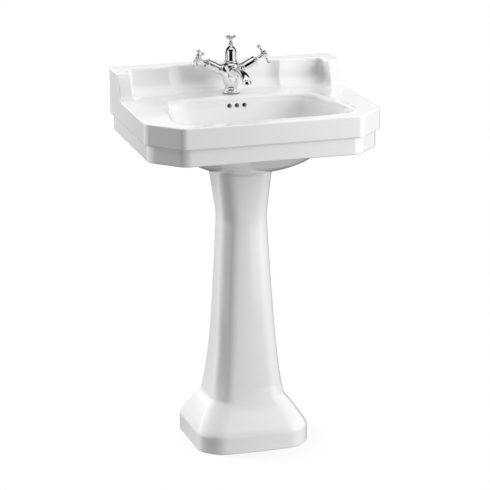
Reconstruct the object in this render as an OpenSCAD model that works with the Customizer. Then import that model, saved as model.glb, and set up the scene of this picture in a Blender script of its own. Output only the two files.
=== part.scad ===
// Pedestal sink: a chamfered basin with an upstand on a waisted pedestal, with a
// one-hole mixer tap, a pop-up waste, a bottle trap and two isolating valves.
// Millimetres. Origin on the floor, in the middle of the basin's plan.
// +X is to the user's right, +Y is towards the wall, +Z is up.

/* [Basin] */
// Overall width of the basin
basin_w = 610; // [600:1:620]
// Overall depth of the basin, front to wall
basin_d = 470; // [465:1:475]
// Width of the basin at the wall
back_w = 593; // [580:1:600]
// Height of the rim above the floor
rim_h = 900; // [895:1:905]
// Height of the upper band of the rim
upper_band_h = 54; // [50:1:58]
// Height of the lower band, set back under the upper one
lower_band_h = 43; // [40:1:46]
// How far the lower band is set back
band_step = 9; // [6:1:10]
// Corner chamfer, measured along the front
chamfer_x = 75; // [70:1:80]
// Corner chamfer, measured along the side
chamfer_y = 82; // [78:1:86]
// Thickness of the outer walls
wall_t = 12; // [11:1:13]
// Thickness of the deck around the bowl
deck_t = 14; // [13:1:15]
// Height of the upstand above the rim
upstand_h = 65; // [60:1:68]

/* [Pedestal] */
// Width of the column under the basin
column_top_w = 150; // [148:1:152]
// Width of the column at its waist
column_waist_w = 124; // [123:1:126]
// Width of the column where it meets the plinth
column_foot_w = 196; // [192:1:200]
// Height of the waist
waist_z = 595; // [590:5:605]
// Width of the plinth
plinth_w = 298; // [290:1:300]
// Height of the plinth's upright band
plinth_h = 46; // [44:1:48]
// Thickness of the pedestal's wall
shell_t = 10; // [9:0.5:10]

/* [Tap] */
// Distance of the tap hole from the wall
tap_back = 102; // [100:1:104]
// Radius of the tap hole
tap_hole_r = 17.5; // [17:0.5:18]
// Slope of the two valve arms
arm_slope = 28; // [27:1:29]
// Distance from the tap's axis to the middle of a cross handle
handle_reach = 100; // [99:1:101]
// Reach of the spout
spout_reach = 138; // [134:1:140]
// Length of a handle's spoke, from its hub's axis
spoke_len = 29; // [28.5:0.5:30]

/* [Waste] */
// Distance of the waste hole from the wall
waste_back = 201; // [199:1:203]
// Radius of the waste hole
waste_hole_r = 22.5; // [22.3:0.1:22.7]
// Travel of the lift knob
knob_lift = 15; // [14:0.5:15]
// Outside radius of the bottle trap
trap_r = 26; // [25:0.5:26]
// Outside radius of the waste pipe
waste_pipe_r = 16; // [15.8:0.1:16.2]

/* [Supply] */
// Outside radius of the supply pipes
supply_r = 7.5; // [7.4:0.1:7.6]
// Distance of each supply pipe from the middle
supply_x = 38; // [37.5:0.5:38.5]
// Height of an isolating valve's middle
valve_z = 455; // [445:5:465]

/* [Hidden] */

eps = 0.01;                 // hair's breadth that cuts reach past a face
fine = 64;                  // facets of a turned part
front_y = -basin_d / 2;     // front face of the basin
wall_y = basin_d / 2;       // face that meets the wall
tap_y = wall_y - tap_back;
waste_y = wall_y - waste_back;
upper_band_z = rim_h - upper_band_h;
skirt_z = upper_band_z - lower_band_h;
china = "#f4f5f3";
chrome = "#c9ccd0";
brass = "#b99a4b";
copper = "#b8734a";
rubber = "#2b2b2c";
plastic = "#e6e7e6";

// ---------------------------------------------------------------- helpers

// signed power, for rounded-rectangle outlines
function spow(v, e) = sign(v) * pow(abs(v), e);

// one ring of the bowl: [drop below rim, half width, front, back, squareness, taper],
// where front and back are measured from the basin's front face
function bowl_ring(r, count) = [for (i = [0 : count - 1])
    let (a = 360 * i / count, mid = (r[2] + r[3]) / 2, half = (r[3] - r[2]) / 2,
         c = spow(cos(a), 2 / r[4]), s = spow(sin(a), 2 / r[4]))
    [r[1] * c * (1 - r[5] * s), front_y + mid + half * s, rim_h - r[0]]];

// skin over a stack of rings, lowest ring first, all with the same number of points
module loft(rings) {
    count = len(rings[0]);
    levels = len(rings);
    points = [for (ring = rings) for (p = ring) p];
    sides = [for (k = [0 : levels - 2]) for (i = [0 : count - 1])
        let (j = (i + 1) % count) each [
            [k * count + i, (k + 1) * count + i, (k + 1) * count + j],
            [k * count + i, (k + 1) * count + j, k * count + j]]];
    bottom = [[for (i = [0 : count - 1]) i]];
    top = [[for (i = [count - 1 : -1 : 0]) (levels - 1) * count + i]];
    polyhedron(points = points, faces = concat(sides, bottom, top), convexity = 6);
}

// turned part from an outline of [radius, height] points
module turned(outline) {
    rotate_extrude($fn = fine) polygon(outline);
}

// plain ring
module ring(outer_r, inner_r, height) {
    difference() {
        cylinder(r = outer_r, h = height, $fn = fine);
        translate([0, 0, -eps]) cylinder(r = inner_r, h = height + 2 * eps, $fn = fine);
    }
}

// hexagonal nut with a round hole, measured across its corners
module hex_nut(corner_r, hole_r, height) {
    difference() {
        cylinder(r = corner_r, h = height, $fn = 6);
        translate([0, 0, -eps]) cylinder(r = hole_r, h = height + 2 * eps, $fn = fine);
    }
}

// point of a smooth curve through the route's points; t runs from 0 to the last index
function route_point(route, t) =
    let (i = min(floor(t), len(route) - 2), u = t - i,
         p0 = route[max(i - 1, 0)], p1 = route[i], p2 = route[i + 1],
         p3 = route[min(i + 2, len(route) - 1)])
    (2 * p1 + (p2 - p0) * u + (2 * p0 - 5 * p1 + 4 * p2 - p3) * pow(u, 2)
        + (3 * p1 - p0 - 3 * p2 + p3) * pow(u, 3)) / 2;

// bent tube along a route that runs mostly up and down
module bent_tube(route, r, sides, steps) {
    last = len(route) - 1;
    loft([for (k = [steps : -1 : 0])
        let (t = last * k / steps, near = 0.02,
             d = route_point(route, min(t + near, last)) - route_point(route, max(t - near, 0)),
             tangent = d / norm(d), across = cross([0, 1, 0], tangent),
             u = across / norm(across), v = cross(tangent, u))
        [for (i = [0 : sides - 1]) let (a = 360 * i / sides)
            route_point(route, t) + r * (cos(a) * u - sin(a) * v)]]);
}

// ------------------------------------------------------------------ basin

// plan outline of the basin, moved inwards by inset
module basin_plan(inset) {
    slope = norm([chamfer_x, chamfer_y]);
    nx = chamfer_y / slope;
    ny = chamfer_x / slope;
    side_y = front_y + chamfer_y + inset * (1 - nx) / ny;
    front_x = basin_w / 2 - chamfer_x - inset * (1 - ny) / nx;
    side_x = basin_w / 2 - inset;
    back_x = back_w / 2 - inset;
    polygon([[-back_x, wall_y - inset], [-side_x, side_y], [-front_x, front_y + inset],
        [front_x, front_y + inset], [side_x, side_y], [back_x, wall_y - inset]]);
}

// plan of the set-back lower band, which still reaches the wall
module lower_plan() {
    basin_plan(band_step);
    translate([-back_w / 2 + band_step, 0]) square([back_w - 2 * band_step, wall_y]);
}

bowl_inside = [[152, 36, 233, 305, 2, 0], [150, 50, 218, 305, 2, 0], [145, 84, 170, 304, 2.2, 0],
    [136, 120, 128, 303, 2.4, 0.02], [120, 150, 100, 304, 2.6, 0.04], [95, 174, 80, 307, 3, 0.06],
    [60, 192, 66, 311, 4, 0.08], [20, 206, 53, 317, 5, 0.1], [-1, 212, 45, 322, 6, 0.11]];
bowl_outside = [[169, 88, 175, 318, 2, 0], [165, 104, 155, 317, 2.1, 0],
    [155, 124, 130, 316, 2.2, 0], [143, 146, 108, 316, 2.3, 0.02], [120, 168, 86, 317, 2.6, 0.04],
    [97, 188, 67, 320, 3, 0.06], [60, 205, 53, 324, 4, 0.08], [8, 222, 36, 332, 5, 0.1]];
bowl_sides = 40;
seat_z = rim_h - 169;          // underside that rests on the pedestal
bowl_floor_z = rim_h - 152;
overflow_drop = 24;
overflow_pitch = 20;
overflow_r = 5.5;
duct_back_y = front_y + 345;
duct_half_w = 36;
fixing_x = 140;
fixing_z = 838;
fixing_r = 7;

// side profile of a cheek of the upstand: [y from the wall, height above the rim]
cheek_outline = [[0, -deck_t], [0, upstand_h], [86, upstand_h], [91, 63], [96, 58], [101, 50],
    [110, 33], [119, 16], [127, 4], [136, 0], [136, -deck_t]];
cheek_t = 34;
panel_t = 50;                  // thickness of the back panel beside its recess
recess_t = 34;                 // thickness in the recess behind the tap
recess_half_w = 145;
cove_r = 16;

module cheek() {
    translate([-basin_w / 2, wall_y, rim_h])
        rotate([90, 0, 90])
            linear_extrude(basin_w / 2 - back_w / 2 + cheek_t)
                polygon([for (p = cheek_outline) [-p[0], p[1]]]);
}

// plan of the back panel, with its stepped recess and its coves to the cheeks
module panel_plan() {
    inner_x = back_w / 2 - cheek_t;
    difference() {
        translate([-back_w / 2, wall_y - panel_t]) square([back_w, panel_t]);
        translate([-recess_half_w, wall_y - panel_t - eps])
            square([2 * recess_half_w, panel_t - recess_t]);
    }
    for (side = [-1, 1]) {
        translate([side * (inner_x - cove_r), wall_y - panel_t - cove_r])
            difference() {
                translate([side > 0 ? 0 : -cove_r, 0]) square([cove_r, cove_r]);
                circle(r = cove_r, $fn = fine);
            }
    }
}

module upstand() {
    intersection() {
        translate([0, 0, rim_h - deck_t]) linear_extrude(upstand_h + deck_t) basin_plan(0);
        union() {
            cheek();
            mirror([1, 0, 0]) cheek();
            translate([0, 0, rim_h - deck_t]) linear_extrude(upstand_h + deck_t) panel_plan();
        }
    }
}

// hollow bands and deck, open underneath
module basin_shell() {
    difference() {
        union() {
            translate([0, 0, upper_band_z]) linear_extrude(upper_band_h) basin_plan(0);
            translate([0, 0, skirt_z]) linear_extrude(lower_band_h + 1) lower_plan();
        }
        translate([0, 0, skirt_z - 1])
            linear_extrude(rim_h - deck_t - skirt_z + 1) basin_plan(band_step + wall_t);
    }
}

module overflow_duct() {
    translate([-duct_half_w - 8, front_y + 300, seat_z])
        cube([2 * duct_half_w + 16, duct_back_y - front_y - 300 + 8, rim_h - deck_t - seat_z + 1]);
}

module overflow_cuts() {
    for (k = [-1, 0, 1])
        translate([k * overflow_pitch, front_y + 300, rim_h - overflow_drop])
            rotate([-90, 0, 0]) cylinder(r = overflow_r, h = 40, $fn = fine);
    translate([-duct_half_w, front_y + 332, seat_z + 6])
        cube([2 * duct_half_w, duct_back_y - front_y - 332, rim_h - seat_z - 22]);
    translate([-duct_half_w / 2, waste_y, seat_z + 6])
        cube([duct_half_w, duct_back_y - waste_y, 8]);
    translate([0, waste_y, seat_z + 6]) cylinder(r = waste_hole_r + 5, h = 8, $fn = fine);
}

module basin() {
    color(china)
    difference() {
        union() {
            basin_shell();
            loft([for (r = bowl_outside) bowl_ring(r, bowl_sides)]);
            translate([-62, front_y + 226, seat_z]) cube([124, 102, 14]);
            overflow_duct();
            upstand();
        }
        loft([for (r = bowl_inside) bowl_ring(r, bowl_sides)]);
        overflow_cuts();
        translate([0, waste_y, seat_z - 1]) cylinder(r = waste_hole_r, h = 40, $fn = fine);
        translate([0, waste_y, bowl_floor_z - 3]) cylinder(r = 33, h = 20, $fn = fine);
        translate([0, tap_y, rim_h - 30]) cylinder(r = tap_hole_r, h = 40, $fn = fine);
        for (side = [-1, 1])
            translate([side * fixing_x, wall_y - 40, fixing_z])
                rotate([-90, 0, 0]) cylinder(r = fixing_r, h = 50, $fn = fine);
    }
}

// --------------------------------------------------------------- pedestal

pad_t = 3;
pedestal_h = seat_z - pad_t;
foot_z = 121;                 // where the column meets the plinth's shoulder
column_front = 217;           // set-backs from the basin's front face
column_back = 340;
plinth_front = 137;
plinth_back = 370;
plinth_chamfer = 42;
column_foot_front = 196;
column_foot_back = 339;
column_waist_back = 312;
foot_chamfer = 32;            // chamfer of the column at its foot and at its waist
waist_chamfer = 27;
return_w = 14;                // width of the lips beside the open back

// a share of the way from one value to another
function mix(a, b, t) = a + (b - a) * t;

// share of the way up from the waist to the top, and down from the waist to the foot
function above_waist(z) = pow((z - waist_z) / (pedestal_h - waist_z), 1.2);
function below_waist(z) = (waist_z - z) / (waist_z - foot_z);

// half width of the column: a flare above the waist, a long taper and a flare below it
function column_half(z) = z > waist_z
    ? mix(column_waist_w, column_top_w, above_waist(z)) / 2
    : mix(column_waist_w, column_foot_w,
        0.68 * below_waist(z) + 0.32 * pow(below_waist(z), 5)) / 2;

// distance of the column's front from the basin's front face
function column_front_at(z) = z > waist_z
    ? mix(column_front + 10, column_front, above_waist(z))
    : mix(column_front + 10, column_foot_front, pow(below_waist(z), 1.5));

// distance of the column's open back from the basin's front face
function column_back_at(z) = z > waist_z
    ? mix(column_waist_back, column_back, above_waist(z))
    : mix(column_waist_back, column_foot_back, pow(below_waist(z), 3.7));

function column_chamfer(z) = mix(waist_chamfer, foot_chamfer, pow(max(0, below_waist(z)), 2));

// shoulder of the plinth: 0 at the upright band, 1 at the column
shoulder = [[0, 0], [0.12, 0.09], [0.25, 0.2], [0.5, 0.44], [0.75, 0.7], [0.93, 0.92], [1, 1]];

// levels of the pedestal: [z, half width, front, back, chamfer]
function shoulder_level(s) = [mix(plinth_h, foot_z, s[0]), mix(plinth_w, column_foot_w, s[1]) / 2,
    mix(plinth_front, column_foot_front, s[1]), mix(plinth_back, column_foot_back, s[1]),
    mix(plinth_chamfer, foot_chamfer, s[1])];
column_steps = 14;
function column_level(i) = let (z = mix(foot_z + 6, pedestal_h, i / column_steps))
    [z, column_half(z), column_front_at(z), column_back_at(z), column_chamfer(z)];
levels = concat([[0, plinth_w / 2, plinth_front, plinth_back, plinth_chamfer]],
    [for (s = shoulder) shoulder_level(s)], [for (i = [0 : column_steps]) column_level(i)]);

// chamfered ring at a level, moved inwards by inset; back is moved by its own amount
function level_ring(l, inset, back_inset, z) =
    let (x = l[1] - inset, f = front_y + l[2] + inset, b = front_y + l[3] - back_inset,
         c = l[4] - inset * 0.58)
    [[x, f + c, z], [x, b, z], [-x, b, z], [-x, f + c, z], [-x + c, f, z], [x - c, f, z]];

// slot through the open back at a level
function slot_ring(l, z) =
    let (x = l[1] - shell_t - return_w, b = front_y + l[3])
    [[x, b - 40, z], [x, b + 20, z], [-x, b + 20, z], [-x, b - 40, z]];

// stretches the lowest and highest rings past the ends, so that a cut goes right through
function cut_z(i) = i == 0 ? -1 : i == len(levels) - 1 ? pedestal_h + 1 : levels[i][0];

screw_x = 112;
screw_y = 95;
screw_r = 4;

module pedestal() {
    color(china)
    difference() {
        union() {
            difference() {
                loft([for (l = levels) level_ring(l, 0, 0, l[0])]);
                loft([for (i = [0 : len(levels) - 1])
                    level_ring(levels[i], shell_t, shell_t, cut_z(i))]);
                loft([for (i = [0 : len(levels) - 1]) slot_ring(levels[i], cut_z(i))]);
            }
            for (side = [-1, 1])
                translate([side * screw_x - 30, screw_y - 25, 0]) cube([60, 50, 12]);
        }
        for (side = [-1, 1])
            translate([side * screw_x, screw_y, -1]) cylinder(r = screw_r, h = 20, $fn = fine);
    }
}

// rubber pads between the pedestal's top edge and the basin
module pedestal_pads() {
    color(rubber) {
        translate([-30, front_y + column_front + 1, pedestal_h]) cube([60, 8, pad_t]);
        for (side = [-1, 1])
            translate([side * (column_top_w / 2 - 5) - 4, front_y + column_front + 28, pedestal_h])
                cube([8, 45, pad_t]);
    }
}

// -------------------------------------------------------------------- tap

gasket_t = 1.5;
arm_root = 46;                // heights here are above the deck
stub_len = 36;
sleeve_end = 75;
rod_r = 2.5;
rod_bore = 2.55;
tail_bore = 5.1;
cover_base = 80;
cover_top = 122;
spout_h = 59;

// puts a valve arm's parts in place: +Z runs outwards along the arm
module on_arm(side) {
    translate([0, tap_y, rim_h + arm_root])
        rotate([0, side * (90 - arm_slope), 0]) children();
}

module at_tap(height) {
    translate([0, tap_y, rim_h + height]) children();
}

module tap_gasket() {
    color(rubber) at_tap(0) ring(22, tap_hole_r, gasket_t);
}

// bell-shaped foot
module tap_foot() {
    color(chrome) at_tap(gasket_t)
        turned([[15.2, 0], [23, 0], [23, 2], [22.4, 3], [20.5, 3.4], [18.6, 4.6], [17.4, 6.4],
            [16.9, 8.6], [17.2, 9.6], [16.6, 10.5], [15.2, 10.5]]);
}

// waterways of the body: two inlets, the valve pockets, the rod's bore and the spout's way
module body_cuts() {
    at_tap(0) {
        translate([0, 0, -1]) cylinder(r = rod_bore, h = cover_base + 10, $fn = fine);
        for (side = [-1, 1])
            translate([side * 9.5, 0, -1]) cylinder(r = tail_bore, h = 26, $fn = fine);
        for (side = [-1, 1])
            translate([side * 9.5, 0, 20]) cylinder(r = 2.6, h = 32, $fn = fine);
        translate([0, 10.5, -1]) cylinder(r = 3.5, h = 16, $fn = fine);
        translate([0, -7, spout_h]) rotate([90, 0, 0]) cylinder(r = 6, h = 40, $fn = fine);
    }
    for (side = [-1, 1]) on_arm(side) {
        translate([0, 0, 22]) cylinder(r = 9, h = 40, $fn = fine);
        translate([0, 0, 12]) cylinder(r = 3, h = 12, $fn = fine);
    }
}

module tap_body() {
    color(chrome)
    difference() {
        union() {
            at_tap(gasket_t)
                turned([[0, 0], [15, 0], [15, 10.5], [14.2, 12], [15.4, 16], [17.2, 22],
                    [18.4, 29], [19, 36], [19.4, 44], [19.8, 50], [20, 60], [0, 60]]);
            at_tap(56)
                turned([[0, 0], [17, 0], [21, 2.5], [22.6, 6], [22.8, 14], [21.5, 18.5],
                    [18, 21.5], [15.5, 23], [0, 23]]);
            for (side = [-1, 1]) on_arm(side) {
                cylinder(r1 = 14.2, r2 = 12.4, h = stub_len - 4, $fn = fine);
                translate([0, 0, stub_len - 4]) cylinder(r = 13.6, h = 4, $fn = fine);
            }
            at_tap(spout_h) translate([0, -14, 0]) rotate([90, 0, 0])
                turned([[0, 0], [11, 0], [11.8, 4], [11.8, 8], [10.6, 10], [0, 10]]);
        }
        body_cuts();
    }
}

// middle line of the spout, as [forward, up] with its radius: a long low arch
spout_root = 24;
function spout_point(t) = [spout_root + (spout_reach - spout_root) * sin(90 * pow(t, 0.85)),
    spout_h + 9 * sin(180 * pow(t, 0.8)) - 9 * pow(t, 3)];
function spout_radius(t) = 9.3 - 1.6 * sin(180 * min(1, t * 1.25)) + 2.8 * pow(t, 3);
spout_steps = 14;
spout_sides = 20;
outlet_h = spout_h - 11;

// ring across the spout; the last rings turn down to face the bowl
function spout_ring(t) =
    let (p = spout_point(t), turn = 90 * pow(t, 3), r = spout_radius(t))
    [for (i = [0 : spout_sides - 1]) let (a = 360 * i / spout_sides)
        [r * cos(a), tap_y - p[0] - r * sin(a) * sin(turn),
            rim_h + p[1] + r * sin(a) * cos(turn)]];

module spout() {
    color(chrome)
    difference() {
        union() {
            loft([for (k = [0 : spout_steps]) spout_ring(k / spout_steps)]);
            translate([0, tap_y - spout_reach, rim_h + outlet_h])
                turned([[0, 0], [11.4, 0], [12.2, 1], [12.2, 4], [12.2, 10.6], [0, 12.6]]);
        }
        translate([0, tap_y - spout_reach, rim_h + outlet_h - 1])
            cylinder(r = 9.5, h = 8, $fn = fine);
        translate([0, tap_y - spout_reach, rim_h + outlet_h])
            cylinder(r = 6, h = 14, $fn = fine);
    }
}

// nozzle with a ring of holes, pushed up into the spout's end
module aerator() {
    color(chrome) translate([0, tap_y - spout_reach, rim_h + outlet_h + 0.5])
    difference() {
        cylinder(r = 9.5, h = 6, $fn = fine);
        for (a = [0 : 60 : 300])
            rotate([0, 0, a]) translate([5, 0, -1]) cylinder(r = 1.2, h = 8, $fn = 16);
        translate([0, 0, -1]) cylinder(r = 1.2, h = 8, $fn = 16);
    }
}

// chromed sleeve that screws over the cartridge
module bonnet(side) {
    color(chrome) on_arm(side)
        turned([[9.05, stub_len], [12.9, stub_len], [12.9, stub_len + 2], [12.2, stub_len + 3],
            [12, 60], [11.8, sleeve_end - 5], [12.6, sleeve_end - 4], [12.6, sleeve_end - 1.5],
            [11.4, sleeve_end], [5.4, sleeve_end], [5.4, sleeve_end - 3],
            [9.05, sleeve_end - 3]]);
}

// quarter-turn cartridge, inside the body and the sleeve
module cartridge(side) {
    color(brass) on_arm(side)
    difference() {
        union() {
            translate([0, 0, 22]) cylinder(r = 9, h = 36, $fn = fine);
            translate([0, 0, 58]) cylinder(r = 7, h = sleeve_end - 3.5 - 58, $fn = fine);
        }
        translate([0, 0, 34]) cylinder(r = 4.55, h = 60, $fn = fine);
        translate([0, 0, 21]) cylinder(r = 3, h = 8, $fn = fine);
    }
}

spindle_end = 97;
module spindle(side) {
    color(chrome) on_arm(side)
        turned([[0, 35], [4.5, 35], [4.5, 77], [5.6, 78], [6.2, 80], [5.2, 82], [4.6, 86],
            [4.6, 92], [3.6, 92], [3.6, spindle_end], [0, spindle_end]]);
}

hub_low = -8;                 // hub's ends, from the spokes' plane
hub_high = 8;

// how far a handle's spokes are turned round its arm when it is shut
function spoke_turn(side) = side > 0 ? 70 : 45;

// cross handle: a hub and four spokes that swell to rounded ends
module handle(side) {
    color(chrome) on_arm(side) translate([0, 0, handle_reach])
    difference() {
        union() {
            turned([[0, hub_low], [5.8, hub_low], [6.6, -7], [6.4, -5], [8, -3.6], [9.4, 0],
                [8.6, 3.4], [9.6, 4.6], [9.8, 6.6], [9, hub_high], [0, hub_high]]);
            for (a = [0 : 90 : 270])
                rotate([0, 90, a + spoke_turn(side)])
                    turned([[0, 5], [3.5, 5], [3.2, 9], [2.5, 13], [2.4, 17], [3.2, 20.4],
                        [4.3, 23], [4.6, 25.2], [3.9, 27.2], [2.2, spoke_len - 0.5],
                        [0, spoke_len]]);
        }
        translate([0, 0, hub_low - 1])
            cylinder(r = 3.6, h = spindle_end - handle_reach - hub_low + 1, $fn = fine);
        translate([0, 0, spindle_end - handle_reach - 1]) cylinder(r = 2, h = 8, $fn = fine);
        translate([0, 0, 1]) cylinder(r = 7.6, h = 12, $fn = fine);
    }
}

module handle_screw(side) {
    color(brass) on_arm(side) translate([0, 0, spindle_end]) {
        cylinder(r = 1.95, h = 4, $fn = fine);
        translate([0, 0, 4]) cylinder(r = 3.6, h = 1.8, $fn = fine);
    }
}

// porcelain button that covers the screw
module index_button(side) {
    color(china) on_arm(side) translate([0, 0, handle_reach])
        turned([[0, 4], [7.5, 4], [7.5, 8.6], [6.6, 9.6], [4, 10.2], [0, 10.4]]);
}

// bell-shaped cover in the middle, over the lift rod
module column_cover() {
    color(chrome) at_tap(0)
        turned([[rod_bore + 0.5, cover_base - 1], [15.6, cover_base - 1], [16.2, cover_base],
            [16.2, cover_base + 3], [14.6, cover_base + 4], [14, cover_base + 5],
            [14, cover_top - 16], [13.2, cover_top - 11], [10.6, cover_top - 6],
            [7.4, cover_top - 3], [5, cover_top - 0.8], [4.4, cover_top],
            [rod_bore + 0.5, cover_top]]);
}

// guide collar and small ball on top of the cover
module column_finial() {
    color(chrome) at_tap(cover_top)
        turned([[rod_bore, 0], [4.4, 0], [5.4, 1], [5.9, 3], [5.4, 5], [4, 6.4], [rod_bore, 6.4]]);
}

knob_low = cover_top + 7;

// lift knob: a stem under four upturned lobes
module lift_knob() {
    color(chrome) at_tap(knob_low)
    difference() {
        union() {
            turned([[0, 0], [4, 0], [4.6, 1.4], [3.4, 4], [3.2, 6.6], [5, 9], [6.6, 11.4],
                [6.2, 14.4], [3.4, 16.4], [0, 17]]);
            for (a = [0 : 90 : 270]) rotate([0, 0, a + 12]) {
                translate([0, 0, 11.5]) rotate([0, 72, 0])
                    turned([[0, 0], [3.2, 0], [2.2, 6], [2.4, 9], [2.6, 11], [0, 11]]);
                translate([11.2, 0, 16.3]) sphere(r = 3.2, $fn = 32);
            }
        }
        translate([0, 0, -1]) cylinder(r = rod_r, h = 9, $fn = fine);
    }
}

// ------------------------------------------------- pop-up waste mechanism

pivot_z = 700;                // height of the rod's ball
pivot_y = waste_y + 30;
inner_arm = pivot_y - waste_y;
outer_arm = tap_y - pivot_y;
rod_tilt = asin(knob_lift / 2 / outer_arm);
clevis_low = pivot_z - knob_lift / 2;
lift_rod_low = 760;

module lift_rod() {
    color(chrome) translate([0, tap_y, lift_rod_low])
        cylinder(r = rod_r, h = rim_h + knob_low + 8 - lift_rod_low, $fn = fine);
}

// strap that joins the lift rod to the pivot rod
module clevis() {
    color(brass)
    difference() {
        translate([-5.5, tap_y - 2, clevis_low - 10]) cube([11, 4, 100]);
        translate([0, tap_y + 10, clevis_low]) rotate([90, 0, 0])
            cylinder(r = 4, h = 20, $fn = fine);
        translate([0, tap_y, lift_rod_low]) cylinder(r = rod_r + 0.05, h = 60, $fn = fine);
    }
    color(brass) translate([0, tap_y, 765])
    difference() {
        cylinder(r = 6.5, h = 14, $fn = fine);
        translate([0, 0, -1]) cylinder(r = rod_r + 0.05, h = 16, $fn = fine);
        translate([0, 0, 7]) rotate([90, 0, 0]) cylinder(r = 2, h = 10, $fn = fine);
    }
}

// thumb screw that grips the lift rod
module clevis_screws() {
    color(chrome) translate([0, tap_y - rod_r - 0.1, 772]) rotate([90, 0, 0]) {
        cylinder(r = 2, h = 7, $fn = fine);
        translate([0, 0, 5]) cylinder(r = 5, h = 4, $fn = fine);
    }
}

// rod with its ball, tilted as it lies with the plug up
module pivot_rod() {
    color(chrome) translate([0, pivot_y, pivot_z]) {
        sphere(r = 6, $fn = fine);
        rotate([-rod_tilt, 0, 0]) {
            rotate([-90, 0, 0]) cylinder(r = 2.5, h = outer_arm + 8, $fn = fine);
            rotate([90, 0, 0]) cylinder(r = 2.5, h = inner_arm + 5, $fn = fine);
        }
    }
}

port_end = pivot_y + 8;

// gland nut that holds the ball
module pivot_nut() {
    color(chrome) translate([0, port_end + 0.2, pivot_z]) rotate([-90, 0, 0])
    difference() {
        cylinder(r = 11, h = 7, $fn = 6);
        translate([0, 0, -1]) cylinder(r = 5, h = 10, $fn = fine);
    }
}

flange_z = bowl_floor_z - 3;  // recess that the waste flange sits in
waste_low = 613;
chamber_low = 682;

module waste_flange() {
    color(chrome) translate([0, waste_y, 0])
        turned([[17, flange_z - 12], [19.4, flange_z - 12], [19.4, flange_z + 1],
            [32, flange_z + 1], [32, flange_z + 2.4], [29, flange_z + 3.6],
            [22, flange_z + 3.6], [19, flange_z + 1.6], [17, flange_z - 1]]);
}

module waste_top_seal() {
    color(rubber) translate([0, waste_y, flange_z]) ring(30, 21.2, 1);
}

// threaded body with overflow windows, the rod's port and the tail
module waste_body() {
    color(brass)
    difference() {
        translate([0, waste_y, 0]) union() {
            translate([0, 0, chamber_low])
                cylinder(r = 20.9, h = flange_z + 1 - chamber_low, $fn = fine);
            translate([0, 0, waste_low])
                cylinder(r = waste_pipe_r, h = chamber_low - waste_low + 1, $fn = fine);
            translate([0, 10, pivot_z]) rotate([-90, 0, 0])
                cylinder(r = 10, h = port_end - waste_y - 10, $fn = fine);
        }
        translate([0, waste_y, chamber_low + 4]) cylinder(r = 17, h = 80, $fn = fine);
        translate([0, waste_y, flange_z - 12.2]) cylinder(r = 19.45, h = 20, $fn = fine);
        translate([0, waste_y, waste_low - 1]) cylinder(r = 14, h = 60, $fn = fine);
        translate([0, waste_y + 12, pivot_z]) rotate([-90, 0, 0])
            cylinder(r = 6.05, h = 60, $fn = fine);
        for (a = [45, 135]) translate([0, waste_y, seat_z + 10])
            rotate([90, 0, a]) cylinder(r = 2.5, h = 60, center = true, $fn = fine);
    }
}

module waste_seal() {
    color(rubber) translate([0, waste_y, seat_z - 5]) ring(29, 20.95, 5);
}

module waste_nut() {
    color(brass) translate([0, waste_y, seat_z - 13]) hex_nut(31, 20.95, 8);
}

plug_rise = knob_lift * inner_arm / outer_arm;
plug_seat = flange_z + 3.6;
eye_r = 3.6;                  // eye in the plug's stem that the pivot rod passes through

module waste_plug() {
    color(chrome) translate([0, waste_y, plug_rise])
    difference() {
        union() {
            turned([[0, plug_seat + 0.3], [16, plug_seat + 0.3], [23, plug_seat + 0.8],
                [24.5, plug_seat + 2.2], [23.6, plug_seat + 3.6], [16, plug_seat + 5.6],
                [0, plug_seat + 6.6]]);
            translate([0, 0, plug_seat - 8]) cylinder(r = 13.5, h = 9, $fn = fine);
            translate([0, 0, pivot_z - plug_rise / 2 - 7])
                cylinder(r = 5.5, h = plug_seat - pivot_z + plug_rise / 2 + 3, $fn = fine);
        }
        translate([0, 0, pivot_z - plug_rise / 2]) rotate([90, 0, 0])
            cylinder(r = eye_r, h = 60, center = true, $fn = fine);
        translate([0, 0, plug_seat - 5]) ring(20, 12.3, 3);
    }
}

module plug_ring() {
    color(rubber) translate([0, waste_y, plug_rise + plug_seat - 4.9]) ring(15.4, 12.35, 2.8);
}

// ------------------------------------------------------------ bottle trap

trap_top = 632;
trap_mid = 560;
trap_low = 505;
branch_z = 598;
stack_y = waste_y + 58;       // middle of the upright waste pipe
pipe_low = 30;

module trap_inlet_nut() {
    color(plastic) translate([0, waste_y, trap_top - 14])
    difference() {
        cylinder(r = 23.5, h = 24, $fn = fine);
        translate([0, 0, -1]) cylinder(r = 20, h = 17, $fn = fine);
        cylinder(r = waste_pipe_r + 0.05, h = 30, $fn = fine);
        for (a = [0 : 30 : 330]) rotate([0, 0, a])
            translate([24.6, 0, -1]) cylinder(r = 2, h = 30, $fn = 16);
    }
}

module trap_body() {
    color(plastic)
    difference() {
        union() {
            translate([0, waste_y, trap_mid]) cylinder(r = trap_r, h = 52, $fn = fine);
            translate([0, waste_y, trap_mid + 52])
                cylinder(r1 = trap_r, r2 = 20, h = 5, $fn = fine);
            translate([0, waste_y, trap_mid + 52])
                cylinder(r = 19.9, h = trap_top - trap_mid - 52, $fn = fine);
            translate([0, waste_y, branch_z]) rotate([-90, 0, 0])
                cylinder(r = 17.5, h = 36, $fn = fine);
        }
        translate([0, waste_y, trap_mid - 1]) cylinder(r = trap_r - 3, h = 50, $fn = fine);
        translate([0, waste_y, trap_mid + 40])
            cylinder(r = waste_pipe_r + 0.1, h = 60, $fn = fine);
        translate([0, waste_y, branch_z]) rotate([-90, 0, 0])
            cylinder(r = 13, h = 60, $fn = fine);
    }
}

module trap_dip_tube() {
    color(plastic) translate([0, waste_y, trap_low + 18]) ring(14.5, 12.5, 84);
    color(plastic) translate([0, waste_y, trap_low + 101]) ring(waste_pipe_r, 12.5, 6);
}

module trap_cup_seal() {
    color(rubber) translate([0, waste_y, trap_mid - 2]) ring(trap_r, trap_r - 3, 2);
}

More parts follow.
